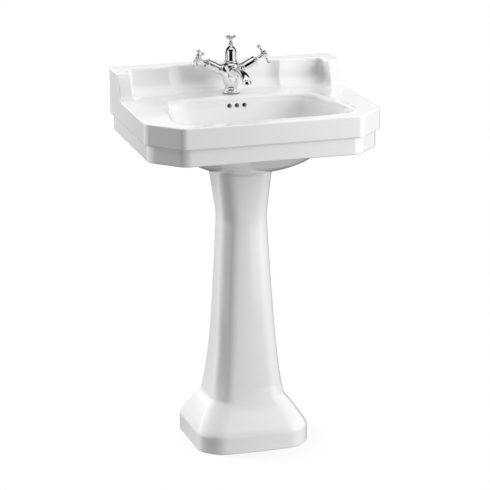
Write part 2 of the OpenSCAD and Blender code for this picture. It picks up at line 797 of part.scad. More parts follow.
// screw-on cup at the bottom, which lifts off for cleaning
module trap_cup() {
    color(plastic) translate([0, waste_y, 0])
    difference() {
        union() {
            translate([0, 0, trap_low + 4])
                cylinder(r = trap_r, h = trap_mid - trap_low - 6, $fn = fine);
            translate([0, 0, trap_low]) cylinder(r1 = trap_r - 5, r2 = trap_r, h = 4, $fn = fine);
        }
        translate([0, 0, trap_low + 4]) cylinder(r = trap_r - 3, h = 80, $fn = fine);
        for (a = [0 : 30 : 330]) rotate([0, 0, a])
            translate([trap_r + 1, 0, trap_low + 30]) cylinder(r = 2, h = 30, $fn = 16);
    }
}

module trap_outlet_nut() {
    color(plastic) translate([0, waste_y + 29, branch_z]) rotate([-90, 0, 0])
    difference() {
        cylinder(r = 21, h = 12, $fn = fine);
        translate([0, 0, -1]) cylinder(r = 17.55, h = 14, $fn = fine);
    }
}

// swept bend and the upright pipe, which stops above the floor
module waste_pipe() {
    bend_r = 18;
    color(plastic) {
        translate([0, stack_y, pipe_low])
            ring(waste_pipe_r, waste_pipe_r - 2, branch_z - bend_r - pipe_low);
        translate([0, stack_y - bend_r, branch_z - bend_r])
            rotate([0, -90, 0])
                rotate_extrude(angle = 90, $fn = fine)
                    translate([bend_r, 0]) difference() {
                        circle(r = waste_pipe_r, $fn = fine);
                        circle(r = waste_pipe_r - 2, $fn = fine);
                    }
        translate([0, waste_y + 36.1, branch_z]) rotate([-90, 0, 0])
            ring(waste_pipe_r, waste_pipe_r - 2, stack_y - bend_r - waste_y - 36.1);
    }
}

// ------------------------------------------------- tap fixing and supplies

stud_y = tap_y + 10.5;
washer_z = rim_h - deck_t - 4;

module tap_stud() {
    color(brass) translate([0, stud_y, rim_h - 55]) cylinder(r = 3.45, h = 55 + 14, $fn = fine);
}

// washer under the deck, cut straight where it passes the overflow duct
module tap_washer() {
    color(rubber) translate([0, tap_y, washer_z])
    difference() {
        ring(20, 16.6, 4);
        translate([-30, -14.4 - 20, -1]) cube([60, 20, 6]);
    }
}

// horseshoe plate that clamps under the deck
module tap_horseshoe() {
    color(brass) translate([0, tap_y, washer_z - 3])
    difference() {
        cylinder(r = 20, h = 3, $fn = fine);
        translate([0, 0, -1]) cylinder(r = 6, h = 5, $fn = fine);
        translate([-16, -30, -1]) cube([32, 36, 5]);
        translate([0, 10.5, -1]) cylinder(r = 3.5, h = 5, $fn = fine);
    }
}

module tap_nut() {
    color(brass) translate([0, stud_y, washer_z - 10]) hex_nut(7.5, 3.5, 7);
}

tail_r = 5;
pipe_y = 56;
tail_low = valve_z + 21;

module tail(side) {
    color(copper) bent_tube([[side * 9.5, tap_y, rim_h + 24], [side * 9.5, tap_y, 850],
        [side * 13, tap_y + 2, 800], [side * 23, tap_y - 2, 745],
        [side * 26, pipe_y + 56, 705], [side * 28, pipe_y + 31, 665],
        [side * 31, pipe_y + 8, 625], [side * supply_x, pipe_y, 575],
        [side * supply_x, pipe_y, tail_low - 9]], tail_r - 0.02, 12, 40);
}

module at_valve(side) {
    translate([side * supply_x, pipe_y, valve_z]) children();
}

// inline isolating valve body, with a boss for its slotted stem
module valve(side) {
    color(chrome) at_valve(side)
    difference() {
        union() {
            translate([0, 0, -20]) cylinder(r = 9, h = 40, $fn = fine);
            translate([0, 0, -9]) cylinder(r = 10.5, h = 18, $fn = fine);
            rotate([-90, 0, 0]) cylinder(r = 6, h = 13, $fn = fine);
        }
        translate([0, 0, -30]) cylinder(r = 4, h = 60, $fn = fine);
        translate([0, 0, 12]) cylinder(r = tail_r, h = 10, $fn = fine);
        translate([0, 0, -22]) cylinder(r = supply_r, h = 10, $fn = fine);
        sphere(r = 6.55, $fn = fine);
        rotate([-90, 0, 0]) cylinder(r = 3.05, h = 20, $fn = fine);
    }
}

// ball and slotted stem, which turn together
module valve_ball(side) {
    color(brass) at_valve(side)
    difference() {
        union() {
            sphere(r = 6.5, $fn = fine);
            rotate([-90, 0, 0]) cylinder(r = 3, h = 14, $fn = fine);
        }
        cylinder(r = 3.5, h = 30, center = true, $fn = fine);
        translate([-0.6, 12.4, -4]) cube([1.2, 3, 8]);
    }
}

module valve_nuts(side) {
    color(chrome) at_valve(side) {
        translate([0, 0, 13]) difference() {
            cylinder(r = 12, h = 11, $fn = 6);
            translate([0, 0, -1]) cylinder(r = 9, h = 8, $fn = fine);
            translate([0, 0, -1]) cylinder(r = tail_r, h = 20, $fn = fine);
        }
        translate([0, 0, -24]) difference() {
            cylinder(r = 12, h = 11, $fn = 6);
            translate([0, 0, 4]) cylinder(r = 9, h = 8, $fn = fine);
            translate([0, 0, -1]) cylinder(r = supply_r, h = 20, $fn = fine);
        }
    }
}

// supply pipe, eased a little where it enters the valve's nut
module supply_pipe(side) {
    bore = supply_r - 0.8;
    neck = supply_r - 0.3;
    shoulder_z = valve_z - 25;
    pipe_top = valve_z - 12.2;
    color(copper) translate([side * supply_x, pipe_y, 0])
        turned([[bore, pipe_low], [supply_r, pipe_low], [supply_r, shoulder_z],
            [neck, shoulder_z], [neck, pipe_top], [bore, pipe_top]]);
}

// --------------------------------------------------------------- assembly

basin();
pedestal();
pedestal_pads();
tap_gasket();
tap_foot();
tap_body();
spout();
aerator();
bonnet(-1);  // hot_bonnet
bonnet(1);  // cold_bonnet
cartridge(-1);  // hot_cartridge
cartridge(1);  // cold_cartridge
spindle(-1);  // hot_spindle
spindle(1);  // cold_spindle
handle(-1);  // hot_handle
handle(1);  // cold_handle
handle_screw(-1);  // hot_handle_screw
handle_screw(1);  // cold_handle_screw
index_button(-1);  // hot_index
index_button(1);  // cold_index
column_cover();
column_finial();
lift_knob();
lift_rod();
clevis();
clevis_screws();
tap_stud();
tap_washer();
tap_horseshoe();
tap_nut();
tail(-1);  // hot_tail
tail(1);  // cold_tail
waste_flange();
waste_top_seal();
waste_body();
waste_seal();
waste_nut();
waste_plug();
plug_ring();
pivot_rod();
pivot_nut();
trap_inlet_nut();
trap_body();
trap_cup();
trap_cup_seal();
trap_dip_tube();
trap_outlet_nut();
waste_pipe();
valve(-1);  // hot_valve
valve(1);  // cold_valve
valve_ball(-1);  // hot_valve_ball
valve_ball(1);  // cold_valve_ball
valve_nuts(-1);  // hot_valve_nuts
valve_nuts(1);  // cold_valve_nuts
supply_pipe(-1);  // hot_pipe
supply_pipe(1);  // cold_pipe
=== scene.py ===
import math

import bpy
import numpy as np
from mathutils import Matrix, Vector


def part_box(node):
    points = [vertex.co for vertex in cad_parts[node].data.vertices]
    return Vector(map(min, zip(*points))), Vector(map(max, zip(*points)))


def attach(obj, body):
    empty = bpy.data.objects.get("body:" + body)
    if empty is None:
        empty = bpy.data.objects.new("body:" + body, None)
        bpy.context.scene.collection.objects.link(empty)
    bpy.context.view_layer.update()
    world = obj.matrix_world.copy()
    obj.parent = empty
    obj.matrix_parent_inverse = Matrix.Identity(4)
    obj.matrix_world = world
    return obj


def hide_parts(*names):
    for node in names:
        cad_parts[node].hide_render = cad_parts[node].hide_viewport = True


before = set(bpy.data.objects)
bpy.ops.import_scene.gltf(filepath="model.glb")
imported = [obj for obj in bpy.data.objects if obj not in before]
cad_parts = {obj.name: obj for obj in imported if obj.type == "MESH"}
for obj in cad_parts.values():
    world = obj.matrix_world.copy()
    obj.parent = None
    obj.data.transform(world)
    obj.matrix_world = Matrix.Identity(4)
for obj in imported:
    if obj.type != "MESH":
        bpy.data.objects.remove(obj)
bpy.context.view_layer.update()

# Lengths in the shape code are millimetres in the row frame; MM turns them into metres.
MM = 0.001

# ------------------------------------------------------------------ places

basin_low, basin_high = (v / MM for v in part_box("basin"))
pedestal_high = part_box("pedestal")[1] / MM
foot_low, foot_high = (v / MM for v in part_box("tap_foot"))
flange_low, flange_high = (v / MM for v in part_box("waste_flange"))
# levels and lines of the basin: its front, the wall, half its width, the upstand's height, the
# rim, the seat on the column, the lower edges of the two bands, and the bowl's floor
FRONT = basin_low.y
WALL = basin_high.y
HALF_W = basin_high.x
UPSTAND = 65.0
RIM = basin_high.z - UPSTAND
SEAT = basin_low.z
BAND = RIM - 54.0
SKIRT = RIM - 97.0
TAP_Y = (foot_low.y + foot_high.y) / 2
WASTE_Y = (flange_low.y + flange_high.y) / 2
BOWL_FLOOR = RIM - 152.0


# ------------------------------------------------- shapes from distance fields

def soft_max(a, b, r):
    """The larger of two distances, with the edge between them rounded to r."""
    return np.minimum(np.maximum(a, b), -r) + np.hypot(np.maximum(a + r, 0), np.maximum(b + r, 0))


def soft_min(a, b, r):
    """The smaller of two distances, with the corner between them filled to r."""
    return -soft_max(-a, -b, r)


def slope_of(field, x, y, z, step=0.25):
    """Gradient of a field by central differences."""
    return (
        (field(x + step, y, z) - field(x - step, y, z)) / (2 * step),
        (field(x, y + step, z) - field(x, y - step, z)) / (2 * step),
        (field(x, y, z + step) - field(x, y, z - step)) / (2 * step),
    )


def lines(low, high, coarse, zones=()):
    """Grid lines from low to high, closer together inside each (start, end, step) zone."""
    at, out = low, [low]
    while at < high:
        step = coarse
        for a, b, fine in zones:
            if a - coarse <= at <= b:
                step = min(step, fine)
        at += step
        out.append(at)
    return np.array(out)


def surface(field, gx, gy, gz, mirror=False):
    """Closed quad mesh where the field is zero, on a grid of lines: points, faces and normals."""
    s = field(gx[:, None, None], gy[None, :, None], gz[None, None, :]).astype(np.float32)
    s = np.where(s == 0, 1e-4, s)
    if mirror:
        s = np.concatenate([s[:0:-1], s])
        gx = np.concatenate([-gx[:0:-1], gx])
    inside = s < 0
    corners = [(i, j, k) for i in (0, 1) for j in (0, 1) for k in (0, 1)]
    shape = tuple(n - 1 for n in s.shape)
    count = np.zeros(shape, np.int8)
    for i, j, k in corners:
        count += inside[i:i + shape[0], j:j + shape[1], k:k + shape[2]]
    ci, cj, ck = np.nonzero((count > 0) & (count < 8))
    index = np.full(shape, -1, np.int64)
    index[ci, cj, ck] = np.arange(len(ci))
    total = np.zeros((len(ci), 3))
    hits = np.zeros(len(ci))
    for a in corners:
        for axis in range(3):
            if a[axis]:
                continue
            b = tuple(a[n] + (n == axis) for n in range(3))
            va = s[ci + a[0], cj + a[1], ck + a[2]]
            vb = s[ci + b[0], cj + b[1], ck + b[2]]
            cross = (va < 0) != (vb < 0)
            t = np.where(cross, va / np.where(cross, va - vb, 1), 0)
            pa = np.stack([gx[ci + a[0]], gy[cj + a[1]], gz[ck + a[2]]], 1)
            pb = np.stack([gx[ci + b[0]], gy[cj + b[1]], gz[ck + b[2]]], 1)
            total += np.where(cross[:, None], pa + (pb - pa) * t[:, None], 0)
            hits += cross
    points = total / hits[:, None]
    quads = []
    for axis in range(3):
        u, v = (axis + 1) % 3, (axis + 2) % 3
        lo = [slice(1, n - 1) for n in s.shape]
        lo[axis] = slice(0, s.shape[axis] - 1)
        hi = list(lo)
        hi[axis] = slice(1, s.shape[axis])
        a_in, b_in = inside[tuple(lo)], inside[tuple(hi)]
        for flip in (False, True):
            hit = (a_in & ~b_in) if not flip else (~a_in & b_in)
            at = list(np.nonzero(hit))
            for n in range(3):
                if n != axis:
                    at[n] = at[n] + 1
            cells = []
            for du, dv in ((-1, -1), (0, -1), (0, 0), (-1, 0)):
                cell = list(at)
                cell[u] = at[u] + du
                cell[v] = at[v] + dv
                cells.append(index[tuple(cell)])
            quads.append(np.stack(cells[::-1] if flip else cells, 1))
    faces = np.concatenate(quads)
    for _ in range(3):
        x, y, z = points.T
        g = np.stack(slope_of(field, x, y, z), 1)
        size = np.maximum((g * g).sum(1), 0.05)
        move = g * (field(x, y, z) / size)[:, None]
        length = np.linalg.norm(move, axis=1)
        points = points - move * np.minimum(1, 1.2 / np.maximum(length, 1e-9))[:, None]
    x, y, z = points.T
    g = np.stack(slope_of(field, x, y, z), 1)
    normals = g / np.maximum(np.linalg.norm(g, axis=1), 1e-9)[:, None]
    return points, faces, normals


def mesh_object(name, points, faces, normals=None, place=None):
    """Object from points in millimetres, smooth shaded."""
    mesh = bpy.data.meshes.new(name)
    points = np.asarray(points, float)
    if place is not None:
        turn = np.array(place.to_3x3())
        points = points @ turn.T + np.array(place.translation)
        if normals is not None:
            normals = normals @ turn.T
    if isinstance(faces, np.ndarray):
        n = len(faces)
        mesh.vertices.add(len(points))
        mesh.vertices.foreach_set("co", (points * MM).astype(np.float32).ravel())
        mesh.loops.add(4 * n)
        mesh.loops.foreach_set("vertex_index", faces.astype(np.int32).ravel())
        mesh.polygons.add(n)
        mesh.polygons.foreach_set("loop_start", np.arange(0, 4 * n, 4, dtype=np.int32))
        mesh.update(calc_edges=True)
    else:
        mesh.from_pydata((points * MM).tolist(), [], faces)
    mesh.validate()
    mesh.polygons.foreach_set("use_smooth", np.ones(len(mesh.polygons), bool))
    mesh.update()
    if normals is not None and len(mesh.vertices) == len(normals):
        mesh.normals_split_custom_set_from_vertices(normals.tolist())
    obj = bpy.data.objects.new(name, mesh)
    bpy.context.scene.collection.objects.link(obj)
    return obj


def band_faces(rows, columns, closed=True):
    """Quads between rows of points that follow each other, each row closed on itself or open."""
    faces = []
    for a in range(0, (rows - 1) * columns, columns):
        b = a + columns
        for i in range(columns if closed else columns - 1):
            j = (i + 1) % columns
            faces.append((a + i, a + j, b + j, b + i))
    return faces


def circle_points(r, z, turns):
    """Points on a level circle about the middle."""
    return [(r * math.cos(math.tau * k / turns), r * math.sin(math.tau * k / turns), z)
            for k in range(turns)]


def cast(name, field, low, high, step, place=None, zones=((), (), ()), mirror=False):
    """Object whose surface is where a distance field is zero."""
    gx, gy, gz = (lines(low[n], high[n], step, zones[n]) for n in range(3))
    points, faces, normals = surface(field, gx, gy, gz, mirror)
    return mesh_object(name, points, faces, normals, place)


def outline_distance(u, v, points):
    """Signed distance to a closed outline of (u, v) points, negative inside."""
    best = np.full(np.broadcast(u, v).shape, 1e9)
    sign = np.ones_like(best)
    for n in range(len(points)):
        ax, ay = points[n]
        bx, by = points[n - 1]
        ex, ey = bx - ax, by - ay
        wx, wy = u - ax, v - ay
        t = np.clip((wx * ex + wy * ey) / (ex * ex + ey * ey), 0, 1)
        best = np.minimum(best, (wx - ex * t) ** 2 + (wy - ey * t) ** 2)
        above, below = v >= ay, v < by
        left = ex * wy > ey * wx
        flip = (above & below & left) | (~above & ~below & ~left)
        sign = np.where(flip, -sign, sign)
    return sign * np.sqrt(best)


# --------------------------------------------------------- turned and swept

def rounded(points, radius=0.5, steps=4):
    """Outline with each inner corner eased by up to radius. A point may carry its own radius."""
    out = [points[0][:2]]
    for n in range(1, len(points) - 1):
        p = np.array(points[n][:2], float)
        a = np.array(points[n - 1][:2], float)
        b = np.array(points[n + 1][:2], float)
        r = points[n][2] if len(points[n]) > 2 else radius
        la, lb = np.linalg.norm(a - p), np.linalg.norm(b - p)
        cut = min(r, la * 0.5, lb * 0.5)
        if cut < 1e-3:
            out.append(tuple(p))
            continue
        start, end = p + (a - p) * cut / la, p + (b - p) * cut / lb
        for k in range(steps + 1):
            t = k / steps
            q = (1 - t) ** 2 * start + 2 * t * (1 - t) * p + t * t * end
            out.append(tuple(q))
    out.append(points[-1][:2])
    clean = [out[0]]
    for q in out[1:]:
        if math.dist(q, clean[-1]) > 1e-4:
            clean.append(q)
    return clean


def smooth_curve(rows, count):
    """Points on a smooth curve through rows of numbers."""
    rows = np.array(rows, float)
    slopes = np.gradient(rows, axis=0)
    at = np.linspace(0, len(rows) - 1, count)
    i = np.minimum(at.astype(int), len(rows) - 2)
    t = (at - i)[:, None]
    return ((1 + 2 * t) * (1 - t) ** 2 * rows[i] + t * (1 - t) ** 2 * slopes[i]
            + t * t * (3 - 2 * t) * rows[i + 1] + t * t * (t - 1) * slopes[i + 1])


def rod_distances(out, up, across, chain):
    """Distance to each tapered rod between the (out, up, radius) points of a chain."""
    for (out_a, up_a, r_a), (out_b, up_b, r_b) in zip(chain, chain[1:]):
        run, rise = out_b - out_a, up_b - up_a
        t = np.clip(((out - out_a) * run + (up - up_a) * rise) / (run * run + rise * rise), 0, 1)
        gap = np.sqrt(across * across + (out - out_a - run * t) ** 2 + (up - up_a - rise * t) ** 2)
        yield gap - (r_a + (r_b - r_a) * t)


def turned(name, points, place, turns=96):
    """Turned piece from an open or closed outline of (radius, height) points."""
    verts, rings, faces = [], [], []
    for r, h in rounded(points):
        if r < 1e-6:
            rings.append([len(verts)])
            verts.append((0, 0, h))
        else:
            rings.append(list(range(len(verts), len(verts) + turns)))
            verts += circle_points(r, h, turns)
    for a, b in zip(rings, rings[1:]):
        for k in range(turns):
            j = (k + 1) % turns
            quad = [a[k % len(a)], a[j % len(a)], b[j % len(b)], b[k % len(b)]]
            face = [q for n, q in enumerate(quad) if q not in quad[:n]]
            if len(face) > 2:
                faces.append(face)
    return mesh_object(name, verts, faces, None, place)


# --------------------------------------------------------------- materials

WHITE = (1, 1, 1, 1)


def new_material(name):
    """Node material with a shader and object coordinates."""
    mat = bpy.data.materials.new(name)
    mat.use_nodes = True
    tree = mat.node_tree
    tree.nodes.clear()
    out = tree.nodes.new("ShaderNodeOutputMaterial")
    shader = tree.nodes.new("ShaderNodeBsdfPrincipled")
    tree.links.new(shader.outputs["BSDF"], out.inputs["Surface"])
    coords = tree.nodes.new("ShaderNodeTexCoord")
    return mat, tree, shader, coords


def noise(tree, coords, scale, detail=3.0, rough=0.5, stretch=(1, 1, 1)):
    """Noise texture over the object."""
    node = tree.nodes.new("ShaderNodeTexNoise")
    node.inputs["Scale"].default_value = scale
    node.inputs["Detail"].default_value = detail
    node.inputs["Roughness"].default_value = rough
    mapping = tree.nodes.new("ShaderNodeMapping")
    mapping.inputs["Scale"].default_value = stretch
    tree.links.new(coords.outputs["Object"], mapping.inputs["Vector"])
    tree.links.new(mapping.outputs["Vector"], node.inputs["Vector"])
    return node.outputs["Fac"]


def ramp(tree, source, stops):
    """Colour ramp of (position, colour) stops."""
    node = tree.nodes.new("ShaderNodeValToRGB")
    marks = node.color_ramp.elements
    while len(marks) < len(stops):
        marks.new(0.5)
    for mark, (at, colour) in zip(marks, stops):
        mark.position = at
        mark.color = (*colour, 1)
    tree.links.new(source, node.inputs["Fac"])
    return node.outputs["Color"]


def spread(tree, source, low, high, start=0.3, end=0.7):
    """Value that runs from low to high while the source runs from start to end."""
    node = tree.nodes.new("ShaderNodeMapRange")
    for key, value in (("From Min", start), ("From Max", end), ("To Min", low), ("To Max", high)):
        node.inputs[key].default_value = value
    tree.links.new(source, node.inputs["Value"])
    return node.outputs["Result"]


def blend_colour(tree, factor, a, b):
    """Colour between a and b, where each is a socket or a plain colour."""
    node = tree.nodes.new("ShaderNodeMix")
    node.data_type = "RGBA"
    tree.links.new(factor, node.inputs["Factor"])
    for socket, colour in ((node.inputs[6], a), (node.inputs[7], b)):
        if isinstance(colour, bpy.types.NodeSocket):
            tree.links.new(colour, socket)
        else:
            socket.default_value = colour
    return node.outputs[2]


def bump(tree, shader, source, depth):
    """Shallow relief, depth in metres."""
    node = tree.nodes.new("ShaderNodeBump")
    node.inputs["Distance"].default_value = depth
    node.inputs["Strength"].default_value = 1.0
    tree.links.new(source, node.inputs["Height"])
    tree.links.new(node.outputs["Normal"], shader.inputs["Normal"])


def finish_of(name, light, dark, scale, rough, metallic=0.0, depth=0.0, bump_scale=None,
              coat=0.0, stretch=(1, 1, 1), specular=0.5):
    """A finish: colour and roughness drift over the surface, with a shallow relief."""
    mat, tree, shader, coords = new_material(name)
    cloud = noise(tree, coords, scale, 3.0, 0.55, stretch)
    tint = ramp(tree, cloud, [(0.3, dark), (0.7, light)])
    tree.links.new(tint, shader.inputs["Base Color"])
    wear = noise(tree, coords, scale * 3.1, 4.0, 0.6, stretch)
    tree.links.new(spread(tree, wear, *rough), shader.inputs["Roughness"])
    shader.inputs["Metallic"].default_value = metallic
    shader.inputs["Specular IOR Level"].default_value = specular
    if coat:
        shader.inputs["Coat Weight"].default_value = coat
        shader.inputs["Coat Roughness"].default_value = 0.03
    if bump_scale:
        relief = noise(tree, coords, bump_scale, 2.0, 0.5, stretch)
        bump(tree, shader, relief, depth)
    return mat


china = finish_of("glazed_china", (0.885, 0.885, 0.880), (0.865, 0.866, 0.862), 9.0,
                  (0.07, 0.13), depth=0.00035, bump_scale=14.0, coat=0.6)
porcelain = finish_of("porcelain_button", (0.90, 0.90, 0.88), (0.86, 0.86, 0.84), 90.0,
                      (0.08, 0.14), depth=0.00002, bump_scale=180.0, coat=0.6)
chrome = finish_of("polished_chrome", (0.93, 0.935, 0.94), (0.88, 0.885, 0.895), 60.0,
                   (0.035, 0.075), metallic=1.0, depth=0.000012, bump_scale=160.0)
brass = finish_of("machined_brass", (0.80, 0.62, 0.30), (0.66, 0.47, 0.20), 70.0,
                  (0.22, 0.42), metallic=1.0, depth=0.00003, bump_scale=900.0,
                  stretch=(1, 1, 4))
copper = finish_of("copper_tube", (0.82, 0.44, 0.27), (0.55, 0.27, 0.17), 40.0,
                   (0.20, 0.45), metallic=1.0, depth=0.00003, bump_scale=300.0,
                   stretch=(1, 1, 0.2))
rubber = finish_of("seal_rubber", (0.035, 0.035, 0.037), (0.020, 0.020, 0.021), 120.0,
                   (0.55, 0.75), depth=0.00005, bump_scale=900.0, specular=0.3)
plastic = finish_of("moulded_plastic", (0.80, 0.80, 0.78), (0.74, 0.74, 0.72), 50.0,
                    (0.28, 0.42), depth=0.00004, bump_scale=700.0)

FINISH = {"china": china, "pedestal_china": china, "porcelain": porcelain, "chrome": chrome,
          "brass": brass, "copper": copper, "rubber": rubber, "white_plastic": plastic}


def fitted(obj, mat, node, body="basin_and_pedestal"):
    """Finish a piece, put it on its body, and let it stand in for its node."""
    obj.data.materials.clear()
    obj.data.materials.append(mat)
    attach(obj, body)
    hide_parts(node)


# ------------------------------------------------------------------- basin

# bowl: [below the rim, half width, front, back, roundness power, taper], from the basin's front
INSIDE = [[152, 36, 233, 305, 2, 0], [150, 50, 218, 305, 2, 0], [145, 84, 170, 304, 2.2, 0],
          [136, 120, 128, 303, 2.4, 0.02], [120, 150, 100, 304, 2.6, 0.04],
          [95, 174, 80, 307, 3, 0.06], [60, 192, 66, 311, 4, 0.08],
          [20, 206, 53, 317, 5, 0.1], [-1, 212, 45, 322, 6, 0.11]]
OUTSIDE = [[169, 88, 175, 318, 2, 0], [165, 104, 155, 317, 2.1, 0], [155, 124, 130, 316, 2.2, 0],
           [143, 146, 108, 316, 2.3, 0.02], [120, 168, 86, 317, 2.6, 0.04],
           [97, 188, 67, 320, 3, 0.06], [60, 205, 53, 324, 4, 0.08], [8, 222, 36, 332, 5, 0.1]]


def smooth_table(rows, columns, window, pitch=0.5):
    """Fine table through rows of numbers, with its corners eased over window."""
    rows = sorted(rows)
    keys = np.arange(rows[0][0] - window, rows[-1][0] + window, pitch)
    keep = [keys]
    for c in range(1, columns):
        values = np.interp(keys, [r[0] for r in rows], [r[c] for r in rows])
        width = int(window / pitch) | 1
        padded = np.pad(values, width // 2, mode="edge")
        keep.append(np.convolve(padded, np.ones(width) / width, "valid"))
    return keep


INSIDE_TABLE = smooth_table(INSIDE, 6, 9)
OUTSIDE_TABLE = smooth_table(OUTSIDE, 6, 12)


def bowl_value(x, y, z, table):
    """0 on the bowl's wall, below 0 inside it."""
    drop = RIM - z
    half_w, front, back, power, taper = (np.interp(drop, table[0], t) for t in table[1:])
    mid, half = FRONT + (front + back) / 2, (back - front) / 2
    s = (y - mid) / half
    c = np.abs(x) / (half_w * (1 - taper * np.clip(s, -1.3, 1.3)))
    return (c ** power + np.abs(s) ** power) ** (1 / power) - 1


def bowl_distance(x, y, z, table):
    """Distance to the bowl's wall, near it."""
    value = bowl_value(x, y, z, table)
    step = 0.6
    dx = (bowl_value(x + step, y, z, table) - value) / step
    dy = (bowl_value(x, y + step, z, table) - value) / step
    dz = (bowl_value(x, y, z + step, table) - value) / step
    return value / np.maximum(np.sqrt(dx * dx + dy * dy + dz * dz), 1e-4)


# plan: the sides draw in by SIDE_DRAW towards the wall, and the chamfer is CUT_X by CUT_Y
SIDE_DRAW = 8.5
CUT_X, CUT_Y = 75.0, 82.0
CORNER_X, CORNER_Y = HALF_W, FRONT + CUT_Y
SIDE = np.array([WALL - CORNER_Y, SIDE_DRAW]) / math.hypot(WALL - CORNER_Y, SIDE_DRAW)
CHAMFER = np.array([CUT_Y, -CUT_X]) / math.hypot(CUT_Y, CUT_X)


def plan_distance(x, y, inset, back_inset, r):
    """Distance to the basin's plan, moved inwards by inset."""
    side = SIDE[0] * (x - CORNER_X) + SIDE[1] * (y - CORNER_Y) + inset
    chamfer = CHAMFER[0] * (x - CORNER_X) + CHAMFER[1] * (y - CORNER_Y) + inset
    front = FRONT - y + inset
    back = y - WALL + back_inset
    return soft_max(soft_max(soft_max(side, chamfer, r), front, r), back, r * 0.8)


# side profile of the cheeks: [distance from the wall, height above the rim]
CHEEK = [[0, 65], [80, 65], [86, 64.6], [91, 62.5], [96, 58], [101, 50], [110, 33.5], [119, 16],
         [127, 0], [140, -28], [175, -110]]
CHEEK_TABLE = smooth_table(CHEEK, 2, 5)
CHEEK_SLOPE = np.gradient(CHEEK_TABLE[1], CHEEK_TABLE[0])
CHEEK_X = HALF_W - SIDE_DRAW - 34.0
# back panel: distance from the wall and lean, and the depth, width, place and lean of the
# crease where it sinks back
PANEL, PANEL_LEAN = 48.0, 0.12
SUNK, SUNK_W, CREASE_X, CREASE_LEAN = 14.0, 36.0, 144.0, 0.09


def share(value, start, end):
    """0 below start, 1 above end, smooth between."""
    t = np.clip((value - start) / (end - start), 0, 1)
    return t * t * (3 - 2 * t)


def top_distance(x, y, z):
    """Deck, cheeks and back panel, endless outwards and downwards."""
    back = WALL - y
    height = np.interp(back, CHEEK_TABLE[0], CHEEK_TABLE[1])
    slope = np.interp(back, CHEEK_TABLE[0], CHEEK_SLOPE)
    lean = PANEL_LEAN * (z - RIM - 34)
    crease = CREASE_X + CREASE_LEAN * (z - RIM)
    run = np.maximum(x - crease + SUNK_W, 0) / SUNK_W
    sunk = SUNK * (1 - run * run)
    sunk = (sunk + np.sqrt(sunk * sunk + 0.8)) / 2
    rise = SUNK * 2 / SUNK_W * np.minimum(run, 1)
    panel = (WALL - PANEL + sunk + lean - y) / np.sqrt(1 + rise * rise)
    plan = soft_min(CHEEK_X - x, panel, 17)
    up = soft_max(plan, (z - RIM - height) / np.sqrt(1 + slope * slope), 5)
    foot = 13 + 15 * share(-back, -128, -84)
    return soft_min(z - RIM, up, foot)


# apron: half sizes, middle and drop of its bulge, and the column's outline cut out of it
APRON_W, APRON_D, APRON_H = 77.0, 62.0, 25.0
APRON_Y, APRON_DROP = 262.0, 2.0
COLUMN_W, COLUMN_Y, COLUMN_CUT = 66.0, 226.0, 21.0


def apron_distance(x, y, z):
    """The belly's low front, which hangs a little way over the top of the column."""
    value = np.sqrt((x / APRON_W) ** 2 + ((y - FRONT - APRON_Y) / APRON_D) ** 2
                    + ((z - SEAT + APRON_DROP) / APRON_H) ** 2)
    across, along = x - COLUMN_W, FRONT + COLUMN_Y - y
    corner = (across + along + COLUMN_CUT) * math.sqrt(0.5)
    hollow = soft_max(soft_max(across, along, 4), corner, 4)
    return soft_max((value - 1) * APRON_H, -hollow, 1)


# how far the lower band is set in, and the thickness of the shell and of the deck
BAND_IN, SHELL_T, DECK_T = 9.0, 21.0, 14.0
# blocks under the bowl, over the column and around the overflow: half width, middle, half depth
BLOCK_X, BLOCK_Y, BLOCK_HALF, BLOCK_H = 62.0, 277.0, 51.0, 14.0
DUCT_X, DUCT_Y, DUCT_HALF, DUCT_DROP = 44.0, 326.5, 26.5, 13.0
# overflow: two of its three holes, and the shaft behind them
HOLE_PITCH, HOLE_R, HOLE_DROP = 20.0, 5.5, 24.0
HOLE_Y, HOLE_HALF = 322.0, 18.0
SHAFT_X, SHAFT_Y, SHAFT_HALF = 36.0, 338.5, 6.5
# waste, tap and wall fixing holes
FLANGE_R, FLANGE_SINK, WASTE_R = 33.0, 3.0, 22.5
TAP_HOLE_R, TAP_HOLE_DEPTH = 17.5, 30.0
FIXING_X, FIXING_Z, FIXING_R, FIXING_DEPTH = 140.0, 838.0, 7.0, 40.0


def box_plan(x, y, half_x, mid_y, half_y):
    """Distance to an upright box about the middle, with mid_y from the basin's front."""
    return np.maximum(x - half_x, np.abs(y - FRONT - mid_y) - half_y)


def basin_body(x, y, z):
    """Distance to the basin before its bowl and openings are cut out of it."""
    edge = plan_distance(x, y, 0, 0, 8)
    upper = soft_max(edge, top_distance(x, y, z), 3.0)
    upper = soft_max(upper, BAND - z, 2.5)
    lower_edge = plan_distance(x, y, BAND_IN, 0, 13)
    lower = soft_max(np.maximum(lower_edge, z - BAND - 6), SKIRT - 2 - z, 4)
    body = soft_min(upper, lower, 1.2)
    body = soft_max(body, y - WALL, 1.5)
    hollow = soft_max(plan_distance(x, y, SHELL_T, SHELL_T, 8), z - RIM + DECK_T, 6)
    body = soft_max(body, -hollow, 3)
    belly = soft_max(bowl_distance(x, y, z, OUTSIDE_TABLE), SEAT - z, 5)
    belly = np.maximum(belly, z - RIM + 9)
    body = soft_min(body, belly, 12)
    body = soft_min(body, apron_distance(x, y, z), 8)
    block = np.maximum(box_plan(x, y, BLOCK_X, BLOCK_Y, BLOCK_HALF), z - SEAT - BLOCK_H)
    duct = np.maximum(box_plan(x, y, DUCT_X, DUCT_Y, DUCT_HALF), z - RIM + DUCT_DROP)
    return soft_min(body, np.maximum(np.minimum(block, duct), SEAT - z), 3)


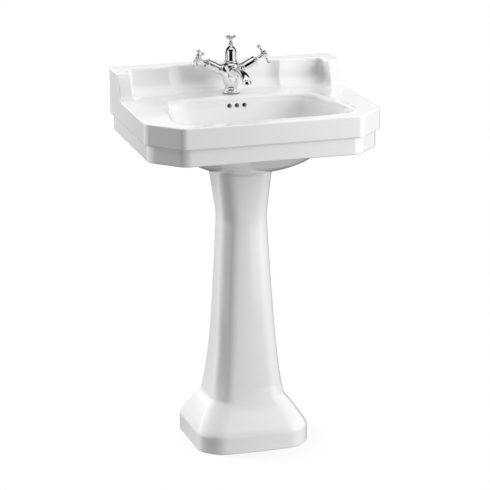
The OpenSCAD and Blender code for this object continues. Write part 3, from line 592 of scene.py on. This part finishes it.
def basin_distance(x, y, z):
    """Distance to the finished basin."""
    x = np.abs(x)
    body = basin_body(x, y, z)
    bowl = soft_max(bowl_distance(x, y, z, INSIDE_TABLE), BOWL_FLOOR - z, 8)
    # the bowl's edge is well rounded at the deck and tight lower down
    lip = 2 + 9.5 * share(z, RIM - 42, RIM - 22)
    body = soft_max(body, -bowl, lip)
    for at in (0.0, HOLE_PITCH):
        hole = np.hypot(x - at, z - RIM + HOLE_DROP) - HOLE_R
        hole = np.maximum(hole, np.abs(y - FRONT - HOLE_Y) - HOLE_HALF)
        body = soft_max(body, -hole, 1.2)
    shaft = np.maximum(box_plan(x, y, SHAFT_X, SHAFT_Y, SHAFT_HALF),
                       np.abs(z - (SEAT + RIM - 10) / 2) - (RIM - 22 - SEAT) / 2)
    body = np.maximum(body, -shaft)
    waste = np.hypot(x, y - WASTE_Y)
    recess = np.maximum(waste - FLANGE_R, BOWL_FLOOR - FLANGE_SINK - z)
    body = soft_max(body, -np.minimum(waste - WASTE_R, recess), 0.8)
    tap_hole = np.hypot(x, y - TAP_Y) - TAP_HOLE_R
    body = soft_max(body, -np.maximum(tap_hole, RIM - TAP_HOLE_DEPTH - z), 1)
    fixing = np.hypot(x - FIXING_X, z - FIXING_Z) - FIXING_R
    return soft_max(body, -np.maximum(fixing, WALL - FIXING_DEPTH - y), 1)


basin = cast(
    "basin_china", basin_distance, (0, FRONT - 6, SEAT - 34), (HALF_W + 6, WALL + 6, RIM + 71),
    3.6, mirror=True,
    zones=(((0, 28, 1.4), (134, 155, 2.2), (226, 236, 2), (HALF_W - 12, HALF_W + 2, 1.6)),
           ((FRONT - 2, FRONT + 12, 1.6), (FRONT + 84, FRONT + 90, 2), (WALL - 6, WALL + 2, 2)),
           ((SEAT - 30, SEAT + 6, 2), (SKIRT - 2, SKIRT + 4, 1.6), (BAND - 3, BAND + 4, 1.2),
            (RIM - 32, RIM - 16, 1.4), (RIM - 8, RIM + 2, 1.6), (RIM + 56, RIM + 67, 1.8))))
fitted(basin, china, "basin")

# ---------------------------------------------------------------- pedestal

# heights of the top, waist and foot of the column and of the plinth, and the wall's thickness
# and the width of its lips at the open back
TOP_Z = pedestal_high.z
WAIST_Z = 595.0
FOOT_Z = 121.0
PLINTH_H = 46.0
WALL_T = 10.0
LIP_W = 14.0
# rounding of the top and bottom edges, and the height up to which the outlines are dense
EDGE = 4.0
DENSE_Z = FOOT_Z + 20
# how far the front face swells at its middle
BOW = 4.0


def mix(a, b, t):
    """Value a share t of the way from a to b."""
    return a + (b - a) * t


def above_waist(z):
    """0 at the waist, 1 at the top."""
    return ((z - WAIST_Z) / (TOP_Z - WAIST_Z)) ** 1.2


def below_waist(z):
    """0 at the waist, 1 at the foot."""
    return (WAIST_Z - z) / (WAIST_Z - FOOT_Z)


# width, front, back and chamfer of the top, waist and foot of the column and of the plinth,
# with the front and back measured from the basin's front
TOP = (150, 217, 340, 27)
WAIST = (124, 227, 312, 27)
FOOT = (196, 196, 339, 32)
PLINTH = (298, 137, 370, 42)
# the plinth's shoulder: [share of its height, share of the way in]
SHOULDER = [[0, 0], [0.12, 0.09], [0.25, 0.2], [0.5, 0.44], [0.75, 0.7], [0.93, 0.92], [1, 1]]


def between(low, high, shares):
    """Half width, front, back and chamfer between two levels, each with its own share."""
    width, front, back, chamfer = (mix(a, b, t) for a, b, t in zip(low, high, shares))
    return [width / 2, front, back, chamfer]


def column_level(z):
    """Half width, front, back and chamfer of the column at a height."""
    if z > WAIST_Z:
        return between(WAIST, TOP, [above_waist(z)] * 4)
    t = below_waist(z)
    return between(WAIST, FOOT, [0.68 * t + 0.32 * t ** 5, t ** 1.5, t ** 3.7, t * t])


def pedestal_levels():
    """Levels of the pedestal: [z, half width, front, back, chamfer]."""
    rows = [[0] + between(PLINTH, FOOT, [0] * 4)]
    for s, t in SHOULDER:
        rows.append([mix(PLINTH_H, FOOT_Z, s)] + between(PLINTH, FOOT, [t] * 4))
    for k in range(41):
        z = mix(FOOT_Z + 6, TOP_Z, k / 40)
        rows.append([z] + column_level(z))
    return rows


LEVELS = pedestal_levels()
LEVEL_TABLE = smooth_table(LEVELS, 5, 7)
SOFT_TABLE = smooth_table(LEVELS, 5, 64)


def level_at(z):
    """The sides keep the shoulder's corner, the front and the chamfer sweep past it."""
    x, front, back, c = (np.interp(z, LEVEL_TABLE[0], t) for t in LEVEL_TABLE[1:])
    soft = share(z, PLINTH_H + 8, PLINTH_H + 34)
    front = mix(front, np.interp(z, SOFT_TABLE[0], SOFT_TABLE[2]), soft)
    c = mix(c, np.interp(z, SOFT_TABLE[0], SOFT_TABLE[4]), soft)
    return x, front, back, c


def eased_polygon(corners, steps=7):
    """Closed outline with every corner rounded: corners are (x, y, radius)."""
    out = []
    for n, (px, py, r) in enumerate(corners):
        p = np.array((px, py))
        a = np.array(corners[n - 1][:2]) - p
        b = np.array(corners[(n + 1) % len(corners)][:2]) - p
        la, lb = np.linalg.norm(a), np.linalg.norm(b)
        cut = min(r, la * 0.45, lb * 0.45)
        start, end = p + a * cut / la, p + b * cut / lb
        for k in range(steps + 1):
            t = k / steps
            out.append((1 - t) ** 2 * start + 2 * t * (1 - t) * p + t * t * end)
    return out


def pedestal_loop(z, shrink):
    """Outline of the open-backed wall at a height; shrink thins it at its top and bottom edge."""
    x, front, back, c = level_at(z)
    f, b = FRONT + front + shrink, FRONT + back - shrink
    x = x - shrink
    t = WALL_T - 2 * shrink
    lip = x - WALL_T - LIP_W + 2 * shrink
    ci = c - t * 0.58
    r = mix(26, 17, np.clip((z - PLINTH_H) / (FOOT_Z - PLINTH_H), 0, 1))
    half = [(lip, b, 2.2), (x, b, 5), (x, f + c, r), (x - c, f, r)]
    middle, inner_middle = [(0, f - BOW, 90)], [(0, f - BOW + t, 90)]
    inner = [(x - t - ci, f + t, 9), (x - t, f + t + ci, 9), (x - t, b - t, 3), (lip, b - t, 2.2)]
    left = [(-p[0], p[1], p[2]) for p in reversed(half)]
    left_inner = [(-p[0], p[1], p[2]) for p in reversed(inner)]
    corners = half + middle + left + left_inner + inner_middle + inner
    return [(p[0], p[1], z) for p in eased_polygon(corners)]


def pedestal_points():
    """Outlines from the floor to the top, close together in the plinth and the shoulder."""
    round_over = [(EDGE * (1 - math.cos(math.pi / 2 * k / 5)),
                   EDGE * 0.9 * (1 - math.sin(math.pi / 2 * k / 5))) for k in range(6)]
    heights = [EDGE + (DENSE_Z - EDGE) * k / 64 for k in range(1, 65)]
    heights += [DENSE_Z + (TOP_Z - EDGE - DENSE_Z) * k / 70 for k in range(1, 71)]
    rings = [pedestal_loop(h, s) for h, s in round_over]
    rings += [pedestal_loop(z, 0) for z in heights]
    rings += [pedestal_loop(TOP_Z - h, s) for h, s in reversed(round_over[:-1])]
    return rings


def pedestal_mesh():
    """Points and faces of the pedestal's wall, closed at its top and bottom edge."""
    rings = pedestal_points()
    n = len(rings[0])
    verts = [p for ring in rings for p in ring]
    faces = band_faces(len(rings), n)
    last = (len(rings) - 1) * n
    for i in range(n // 2 - 1):
        a, b, c, d = i, i + 1, n - 2 - i, n - 1 - i
        faces.append((a, d, c, b))
        faces.append((last + a, last + b, last + c, last + d))
    return verts, faces


# foot plate inside the plinth: middle, half sizes, height and screw hole
LUG_X, LUG_Y = 112.0, 95.0
LUG_HALF_X, LUG_HALF_Y = 30.0, 25.0
LUG_H = 12.0
LUG_LIFT = 0.3
SCREW_R = 4.0
LUG_TURNS = 48


def lug(side):
    """Points and faces of the foot plate on one side, a ring with a round screw hole."""
    square, circle = [], []
    for k in range(LUG_TURNS):
        a = math.tau * k / LUG_TURNS
        c, s = math.cos(a), math.sin(a)
        m = (abs(c) ** 10 + abs(s) ** 10) ** 0.1
        square.append((LUG_HALF_X * c / m, LUG_HALF_Y * s / m))
        circle.append((SCREW_R * c, SCREW_R * s))
    layers = [(square, LUG_LIFT, 1.0), (square, LUG_H - 2, 1.0), (square, LUG_H - 0.6, 0.985),
              (square, LUG_H, 0.96), (circle, LUG_H, 1.25), (circle, LUG_H - 0.8, 1.0),
              (circle, LUG_LIFT, 1.0)]
    verts = [(side * LUG_X + x * scale, LUG_Y + y * scale, z)
             for shape, z, scale in layers for x, y in shape]
    faces = band_faces(len(layers) + 1, LUG_TURNS)
    return verts, [tuple(i % len(verts) for i in face) for face in faces]


verts, faces = pedestal_mesh()
for side in (-1, 1):
    more, more_faces = lug(side)
    faces += [tuple(i + len(verts) for i in f) for f in more_faces]
    verts += more
pedestal = mesh_object("pedestal_china", verts, faces)
fitted(pedestal, china, "pedestal")

# --------------------------------------------------------------------- tap

# arms: slope in degrees, height of their root, and how far out the handles sit
ARM_SLOPE = 28.0
ARM_ROOT = 46.0
HANDLE_AT = 100.0
# spout: reach and height of its root
SPOUT_REACH = 138.0
SPOUT_H = 59.0
# where the spout leaves its stem, and the outlet's bore with its top below the root's height
SPOUT_START = 23.7
BORE_R, BORE_TOP = 9.5, -4.0
# top of the column cover, and how far over it the lift knob starts
COVER_TOP = 122.0
KNOB_RISE = 7.0
# turn of the spokes and of the knob's arms, in degrees
HANDLE_TURN = {"hot_tap": 45.0, "cold_tap": 70.0}
KNOB_TURN = 12.0


def at_tap(height=0.0):
    """Place over the tap's middle, at a height over the deck."""
    return Matrix.Translation((0, TAP_Y, RIM + height))


def on_arm(side, along=0.0):
    """+Z runs outwards along the arm on that side."""
    turn = Matrix.Rotation(math.radians(side * (90 - ARM_SLOPE)), 4, "Y")
    return at_tap(ARM_ROOT) @ turn @ Matrix.Translation((0, 0, along))


def chromed(obj, node, body="basin_and_pedestal"):
    """Fit a chromed piece."""
    fitted(obj, chrome, node, body)


chromed(turned("tap_foot_bell", [
    (15.2, 0), (23, 0, 0.4), (23, 1.8, 0.6), (22.3, 3.0, 0.8), (20.4, 3.5, 0.6), (18.7, 4.5, 2),
    (17.3, 6.6, 2), (16.9, 8.4, 0.6), (17.4, 9.1, 0.5), (17.1, 10.3, 0.5), (15.2, 10.5)],
    at_tap(1.5)), "tap_foot")

# outlines of the body as (radius, height or distance out): vase, arm, and the spout's stem
VASE = rounded([(0, 1.5), (15, 1.5), (15, 12), (14.8, 13.6), (16.2, 16.5), (18.4, 20.5),
                (20.4, 25), (21.6, 30), (22.2, 36), (22.3, 41), (22.1, 46), (21.9, 51),
                (21.9, 56), (22.1, 59.5), (22.5, 62.5), (22.8, 66), (22.7, 70), (21.8, 74),
                (19.6, 76.8), (17, 78.2), (15.6, 79), (0, 79)], 4)


def arm_frame(x, z):
    """Distance out along the arm, and the height across it."""
    c, s = math.cos(math.radians(ARM_SLOPE)), math.sin(math.radians(ARM_SLOPE))
    return x * c + (z - ARM_ROOT) * s, -x * s + (z - ARM_ROOT) * c


ARM = rounded([(0, 0), (14.2, 0), (13.4, 14), (12.4, 27), (12.2, 31), (13.2, 31.8), (13.7, 33),
               (13.7, 34.6), (13.2, 35.8), (0, 36)], 3)
STEM = rounded([(0, 8), (11.2, 8), (11.2, 14), (10.6, 18), (11.0, 19), (11.9, 20), (12.1, 21.5),
                (11.7, 23), (10.4, 23.6), (0, 23.6)], 3)


def tap_body_distance(x, y, z):
    """Distance to the tap's body, with z from the deck."""
    x = np.abs(x)
    vase = outline_distance(np.hypot(x, y), z, VASE)
    along, across = arm_frame(x, z)
    arm = outline_distance(np.hypot(across, y), along, ARM)
    stem = outline_distance(np.hypot(x, z - SPOUT_H), -y, STEM)
    return soft_min(soft_min(vase, arm, 5), stem, 2.5)


chromed(cast("tap_body_casting", tap_body_distance, (0, -26, 0), (46, 24, 82), 0.9,
             at_tap(), mirror=True), "tap_body")

# spout: [forward, height above its root, radius]
SPOUT = [(22, 0, 9.8), (31, 1.6, 9.2), (43, 4.4, 8.5), (57, 7.4, 8.2), (71, 9.0, 8.3),
         (85, 9.4, 8.7), (98, 9.0, 9.4), (111, 7.4, 10.1), (122, 4.8, 10.8),
         (130, 1.4, 11.2), (135.6, -2.4, 11.3), (137.8, -5.5, 11.3)]
SPOUT_CURVE = smooth_curve(SPOUT, 72)
NOZZLE = [(0, -11), (11.0, -11), (11.7, -10.4), (12.1, -9.4), (12.1, -7.4), (11.6, -6.4),
          (11.4, -5), (11.3, -1), (0, -1)]


def spout_distance(x, y, z):
    """Distance to the spout, with z from the height of its root."""
    forward = -y
    best = 1e9
    for rod in rod_distances(forward, z, x, SPOUT_CURVE):
        best = np.minimum(best, rod)
    best = np.maximum(best, SPOUT_START - forward)
    rho = np.hypot(x, forward - SPOUT_REACH)
    best = soft_min(best, outline_distance(rho, z, NOZZLE), 1.0)
    bore = np.maximum(rho - BORE_R, z - BORE_TOP)
    return soft_max(best, -bore, 0.5)


chromed(cast("spout_casting", spout_distance, (0, -154, -15), (16, -20, 23), 0.8,
             at_tap(SPOUT_H), mirror=True), "spout")

# outlines of a handle's hub as (radius, height) and of its spokes as (radius, distance out)
HUB = rounded([(3.6, -8), (5.6, -8), (6.6, -7), (6.4, -5.2), (7.6, -4), (8.9, -1.6), (9.2, 0.8),
               (8.6, 3), (9.3, 4.2), (9.9, 5.6), (9.5, 7.4), (8.4, 8), (7.6, 7.6), (7.6, 4),
               (3.6, 3.8)], 0.8)
SPOKE = rounded([(0, 8), (3.5, 8), (3.0, 11), (2.5, 14), (2.4, 17), (2.8, 19.4), (3.7, 21.4),
                 (4.5, 23.4), (4.7, 25.2), (4.2, 27), (2.8, 28.4), (0, 29)], 2)


def four_arms(x, y, turn):
    """Distance out along the nearest arm of a turned cross, and the distance beside it."""
    c, s = math.cos(turn), math.sin(turn)
    a, b = np.abs(x * c + y * s), np.abs(y * c - x * s)
    return np.maximum(a, b), np.minimum(a, b)


def handle_field(turn):
    """Distance field of a cross handle with its spokes turned by an angle."""
    def field(x, y, z):
        hub = outline_distance(np.hypot(x, y), z, HUB)
        out, off = four_arms(x, y, turn)
        spoke = outline_distance(np.hypot(off, z), out, SPOKE)
        return soft_min(hub, spoke, 1.4)

    return field


for side, name, body in ((-1, "hot", "hot_tap"), (1, "cold", "cold_tap")):
    chromed(turned(name + "_bonnet_sleeve", [
        (9.05, 36), (12.9, 36, 0.5), (13.1, 37.2, 0.7), (12.6, 38.6, 0.7), (12.1, 39.4, 1),
        (12.2, 48, 6), (12.1, 60, 6), (11.7, 69.4, 1), (12.4, 70.4, 0.6), (12.7, 71.8, 0.8),
        (12.3, 73.3, 0.6), (10.8, 74.4, 0.8), (8.6, 75, 0.5), (5.4, 75, 0.2), (5.4, 72),
        (9.05, 72)], on_arm(side), turns=72), name + "_bonnet")
    chromed(turned(name + "_spindle_turned", [
        (0, 35), (4.5, 35), (4.5, 75.6, 0.3), (5.5, 76.6, 0.8), (6.3, 78.6, 1.2), (5.4, 80.9, 1),
        (4.5, 82.4, 1.2), (4.2, 86, 2), (4.5, 90, 1), (4.6, 92), (3.6, 92), (3.6, 97), (0, 97)],
        on_arm(side), turns=64), name + "_spindle", body)
    chromed(cast(name + "_cross_handle", handle_field(math.radians(HANDLE_TURN[body])),
                 (-30, -30, -9.2), (30, 30, 9.2), 0.8,
                 on_arm(side, HANDLE_AT)), name + "_handle", body)
    button = turned(name + "_index_button", [
        (0, 4), (7.5, 4), (7.5, 7.6, 0.4), (7.1, 8.9, 0.9), (5.6, 9.8, 1.6), (2.8, 10.3, 2),
        (0, 10.4)], on_arm(side, HANDLE_AT), turns=72)
    fitted(button, porcelain, name + "_index", body)

chromed(turned("column_cover_turned", [
    (3.05, 79), (15.6, 79), (16.4, 79.8, 0.6), (16.5, 81.4, 0.8), (15.9, 83, 0.7),
    (14.7, 83.8, 0.6), (14.2, 85.2, 1), (14.1, 94, 4), (14.0, 105, 5), (13.6, 110.4, 3),
    (12.2, 114.4, 3), (9.6, 117.4, 3), (7.0, 119.2, 2), (5.2, 120.8, 1), (4.6, 121.6, 0.4),
    (4.4, COVER_TOP), (3.05, COVER_TOP)], at_tap()), "column_cover")
chromed(turned("column_finial_ball", [
    (2.55, 0), (4.4, 0), (5.4, 0.8, 1), (6.0, 3, 1.6), (5.5, 5, 1.4), (4.1, 6.3, 0.8),
    (2.55, 6.4)], at_tap(COVER_TOP), turns=64), "column_finial")

# the lift knob: its stem, and each of its four arms as [outwards, height, radius]
KNOB_ARM = [(3, 11.6, 3.1), (7.2, 13.2, 2.5), (11.0, 15.9, 3.4)]
KNOB_STEM = rounded([(0, 0), (3.9, 0), (4.6, 1), (4.3, 2.4), (3.4, 4), (3.2, 6.2), (4.4, 8.4),
                     (6.0, 10.4), (6.5, 12.4), (5.8, 14.4), (3.6, 16), (0, 16.6)], 1.5)


def knob_distance(x, y, z):
    """Distance to the lift knob, with z from its lower end."""
    out, off = four_arms(x, y, math.radians(KNOB_TURN))
    best = outline_distance(np.hypot(x, y), z, KNOB_STEM)
    for rod in rod_distances(out, z, off, KNOB_ARM):
        best = soft_min(best, rod, 0.8)
    return best


chromed(cast("lift_knob_casting", knob_distance, (-16, -16, -1.5), (16, 16, 21), 0.55,
             at_tap(COVER_TOP + KNOB_RISE)), "lift_knob", "lift")

# ------------------------------------------------------------- CAD nodes kept

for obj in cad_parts.values():
    if obj.hide_render:
        continue
    for slot in obj.material_slots:
        finish = next(m for key, m in FINISH.items() if slot.material.name.startswith(key))
        slot.link = "OBJECT"
        slot.material = finish

# ------------------------------------------------------------- floor and light

FLOOR_RADII = [300, 700, 1200, 1700, 2200]


def studio_floor():
    """Round pale floor that glows to white away from the object."""
    count = 96
    verts = [p for r in reversed(FLOOR_RADII) for p in circle_points(r, 0, count)]
    faces = band_faces(len(FLOOR_RADII), count)
    middle = len(verts)
    verts.append((0, 0, 0))
    first = middle - count
    faces += [(middle, first + k, first + (k + 1) % count) for k in range(count)]
    floor = mesh_object("studio_floor", verts, faces)
    mat, tree, shader, coords = new_material("pale_floor")
    grain = noise(tree, coords, 3.0)
    tint = ramp(tree, grain, [(0.3, (0.90, 0.90, 0.90)), (0.7, (0.92, 0.92, 0.92))])
    tree.links.new(tint, shader.inputs["Base Color"])
    shader.inputs["Roughness"].default_value = 0.9
    shader.inputs["Specular IOR Level"].default_value = 0.1
    length = tree.nodes.new("ShaderNodeVectorMath")
    length.operation = "LENGTH"
    tree.links.new(coords.outputs["Object"], length.inputs[0])
    fade = spread(tree, length.outputs["Value"], 0.72, 1.0, 0.10, 0.22)
    # the glow is full to the camera, faint in reflections and moderate as light
    glow = tree.nodes.new("ShaderNodeEmission")
    glow.inputs["Color"].default_value = WHITE
    rays = tree.nodes.new("ShaderNodeLightPath")
    seen = tree.nodes.new("ShaderNodeMath")
    seen.operation = "MULTIPLY_ADD"
    seen.inputs[1].default_value = -0.38
    seen.inputs[2].default_value = 0.42
    tree.links.new(rays.outputs["Is Glossy Ray"], seen.inputs[0])
    level = tree.nodes.new("ShaderNodeMath")
    level.operation = "MAXIMUM"
    tree.links.new(seen.outputs["Value"], level.inputs[0])
    tree.links.new(rays.outputs["Is Camera Ray"], level.inputs[1])
    tree.links.new(level.outputs["Value"], glow.inputs["Strength"])
    blend = tree.nodes.new("ShaderNodeMixShader")
    out = next(n for n in tree.nodes if n.type == "OUTPUT_MATERIAL")
    tree.links.new(fade, blend.inputs["Fac"])
    tree.links.new(shader.outputs["BSDF"], blend.inputs[1])
    tree.links.new(glow.outputs["Emission"], blend.inputs[2])
    tree.links.new(blend.outputs["Shader"], out.inputs["Surface"])
    floor.data.materials.append(mat)


studio_floor()


# the card's middle line from the tap, radius, half sweep in degrees, and heights over the rim
CARD_Y, CARD_R, CARD_SWEEP = -150.0, 260.0, 62.0
CARD_LOW, CARD_HIGH = 142.0, 520.0


def flag_card():
    """Black card above and behind the tap, seen only in the metal, which gives it dark edges."""
    columns, rows = 25, 13
    verts = []
    for j in range(rows):
        for i in range(columns):
            a = math.radians(mix(-CARD_SWEEP, CARD_SWEEP, i / (columns - 1)))
            z = RIM + mix(CARD_LOW, CARD_HIGH, j / (rows - 1))
            verts.append((CARD_R * math.sin(a), TAP_Y + CARD_Y + CARD_R * math.cos(a), z))
    card = mesh_object("flag_card", verts, band_faces(rows, columns, closed=False))
    card.data.materials.append(finish_of("black_card", (0.012, 0.012, 0.012),
                                         (0.008, 0.008, 0.008), 20.0, (0.85, 0.95), specular=0.1))
    card.visible_camera = False
    card.visible_diffuse = False
    card.visible_shadow = False


flag_card()


def studio_world():
    """White to look at; a pale room with a dark front for soft shade, and flags for the metal."""
    world = bpy.data.worlds.new("studio")
    bpy.context.scene.world = world
    world.use_nodes = True
    tree = world.node_tree
    tree.nodes.clear()
    links = tree.links
    way = tree.nodes.new("ShaderNodeTexCoord").outputs["Generated"]

    def facing(x, y, z, flat):
        """Cosine between the way looked and a direction, level ones only if flat."""
        source = way
        if flat:
            level = tree.nodes.new("ShaderNodeVectorMath")
            level.operation = "MULTIPLY"
            level.inputs[1].default_value = (1, 1, 0)
            unit = tree.nodes.new("ShaderNodeVectorMath")
            unit.operation = "NORMALIZE"
            links.new(way, level.inputs[0])
            links.new(level.outputs["Vector"], unit.inputs[0])
            source = unit.outputs["Vector"]
        dot = tree.nodes.new("ShaderNodeVectorMath")
        dot.operation = "DOT_PRODUCT"
        dot.inputs[1].default_value = Vector((x, y, z)).normalized()
        links.new(source, dot.inputs[0])
        to_unit = tree.nodes.new("ShaderNodeMapRange")
        to_unit.inputs["From Min"].default_value = -1
        links.new(dot.outputs["Value"], to_unit.inputs["Value"])
        return to_unit.outputs["Result"]

    def grey(*marks):
        return [(at, (v, v, v)) for at, v in marks]

    room = ramp(tree, facing(-0.62, -0.74, 0.05, False),
                grey((0.0, 0.26), (0.22, 0.34), (0.48, 0.49), (0.60, 0.48), (0.86, 0.205),
                     (1.0, 0.125)))
    around = facing(-0.29, -0.957, 0, True)
    flags = ramp(tree, around, grey((0.0, 0.01), (0.34, 0.02), (0.46, 0.22), (0.52, 0.98),
                                    (0.885, 0.98), (0.91, 0.01), (1.0, 0.01)))
    front_flag = ramp(tree, around, grey((0.0, 1.0), (0.72, 1.0), (0.79, 0.01), (1.0, 0.01)))
    above = tree.nodes.new("ShaderNodeSeparateXYZ")
    links.new(way, above.inputs["Vector"])
    high = spread(tree, above.outputs["Z"], 0.0, 1.0, 0.08, 0.22)
    top = spread(tree, above.outputs["Z"], 0.0, 1.0, 0.66, 0.80)
    upper = blend_colour(tree, top, front_flag, WHITE)
    metal = blend_colour(tree, high, flags, upper)
    rays = tree.nodes.new("ShaderNodeLightPath")
    colour = blend_colour(tree, rays.outputs["Is Glossy Ray"], room, metal)
    shown = blend_colour(tree, rays.outputs["Is Camera Ray"], colour, WHITE)
    back = tree.nodes.new("ShaderNodeBackground")
    links.new(shown, back.inputs["Color"])
    out = tree.nodes.new("ShaderNodeOutputWorld")
    links.new(back.outputs["Background"], out.inputs["Surface"])


studio_world()

# the softboxes' aim; each has its place and size in metres and its power in watts
AIM = (0, 0, 0.6)


def softbox(name, place, width, height, power):
    """Soft rectangular light aimed at the middle of the sink."""
    light = bpy.data.lights.new(name, "AREA")
    light.shape = "RECTANGLE"
    light.size = width
    light.size_y = height
    light.energy = power
    obj = bpy.data.objects.new(name, light)
    bpy.context.scene.collection.objects.link(obj)
    obj.location = place
    way = Vector(AIM) - Vector(place)
    obj.rotation_euler = way.to_track_quat("-Z", "Y").to_euler()
    obj.visible_camera = False
    obj.visible_glossy = False


softbox("left_box", (-2.2, 2.0, 1.3), 1.6, 2.4, 121)
softbox("right_box", (1.9, -1.7, 1.3), 1.6, 2.4, 62)
softbox("top_box", (0.1, -0.1, 3.2), 2.2, 2.0, 23)

bpy.context.scene.view_settings.view_transform = "Standard"

# ------------------------------------------------------------------- camera

cam_data = bpy.data.cameras.new("camera")
cam_data.sensor_width = 36
# the lens is this many picture widths long
cam_data.lens = cam_data.sensor_width * 4.8979592
cam_data.clip_end = 100
cam = bpy.data.objects.new("camera", cam_data)
bpy.context.scene.collection.objects.link(cam)
# the picture's right and up, and the camera's place in metres
right = Vector((0.95625, -0.29252, -0.00514))
up = Vector((0.08427, 0.25860, 0.96230))
place = Vector((-1.7265, -5.6556, 2.1991))
away = right.cross(up)
cam.matrix_world = Matrix((
    (right.x, up.x, away.x, place.x),
    (right.y, up.y, away.y, place.y),
    (right.z, up.z, away.z, place.z),
    (0, 0, 0, 1)))
bpy.context.scene.camera = cam
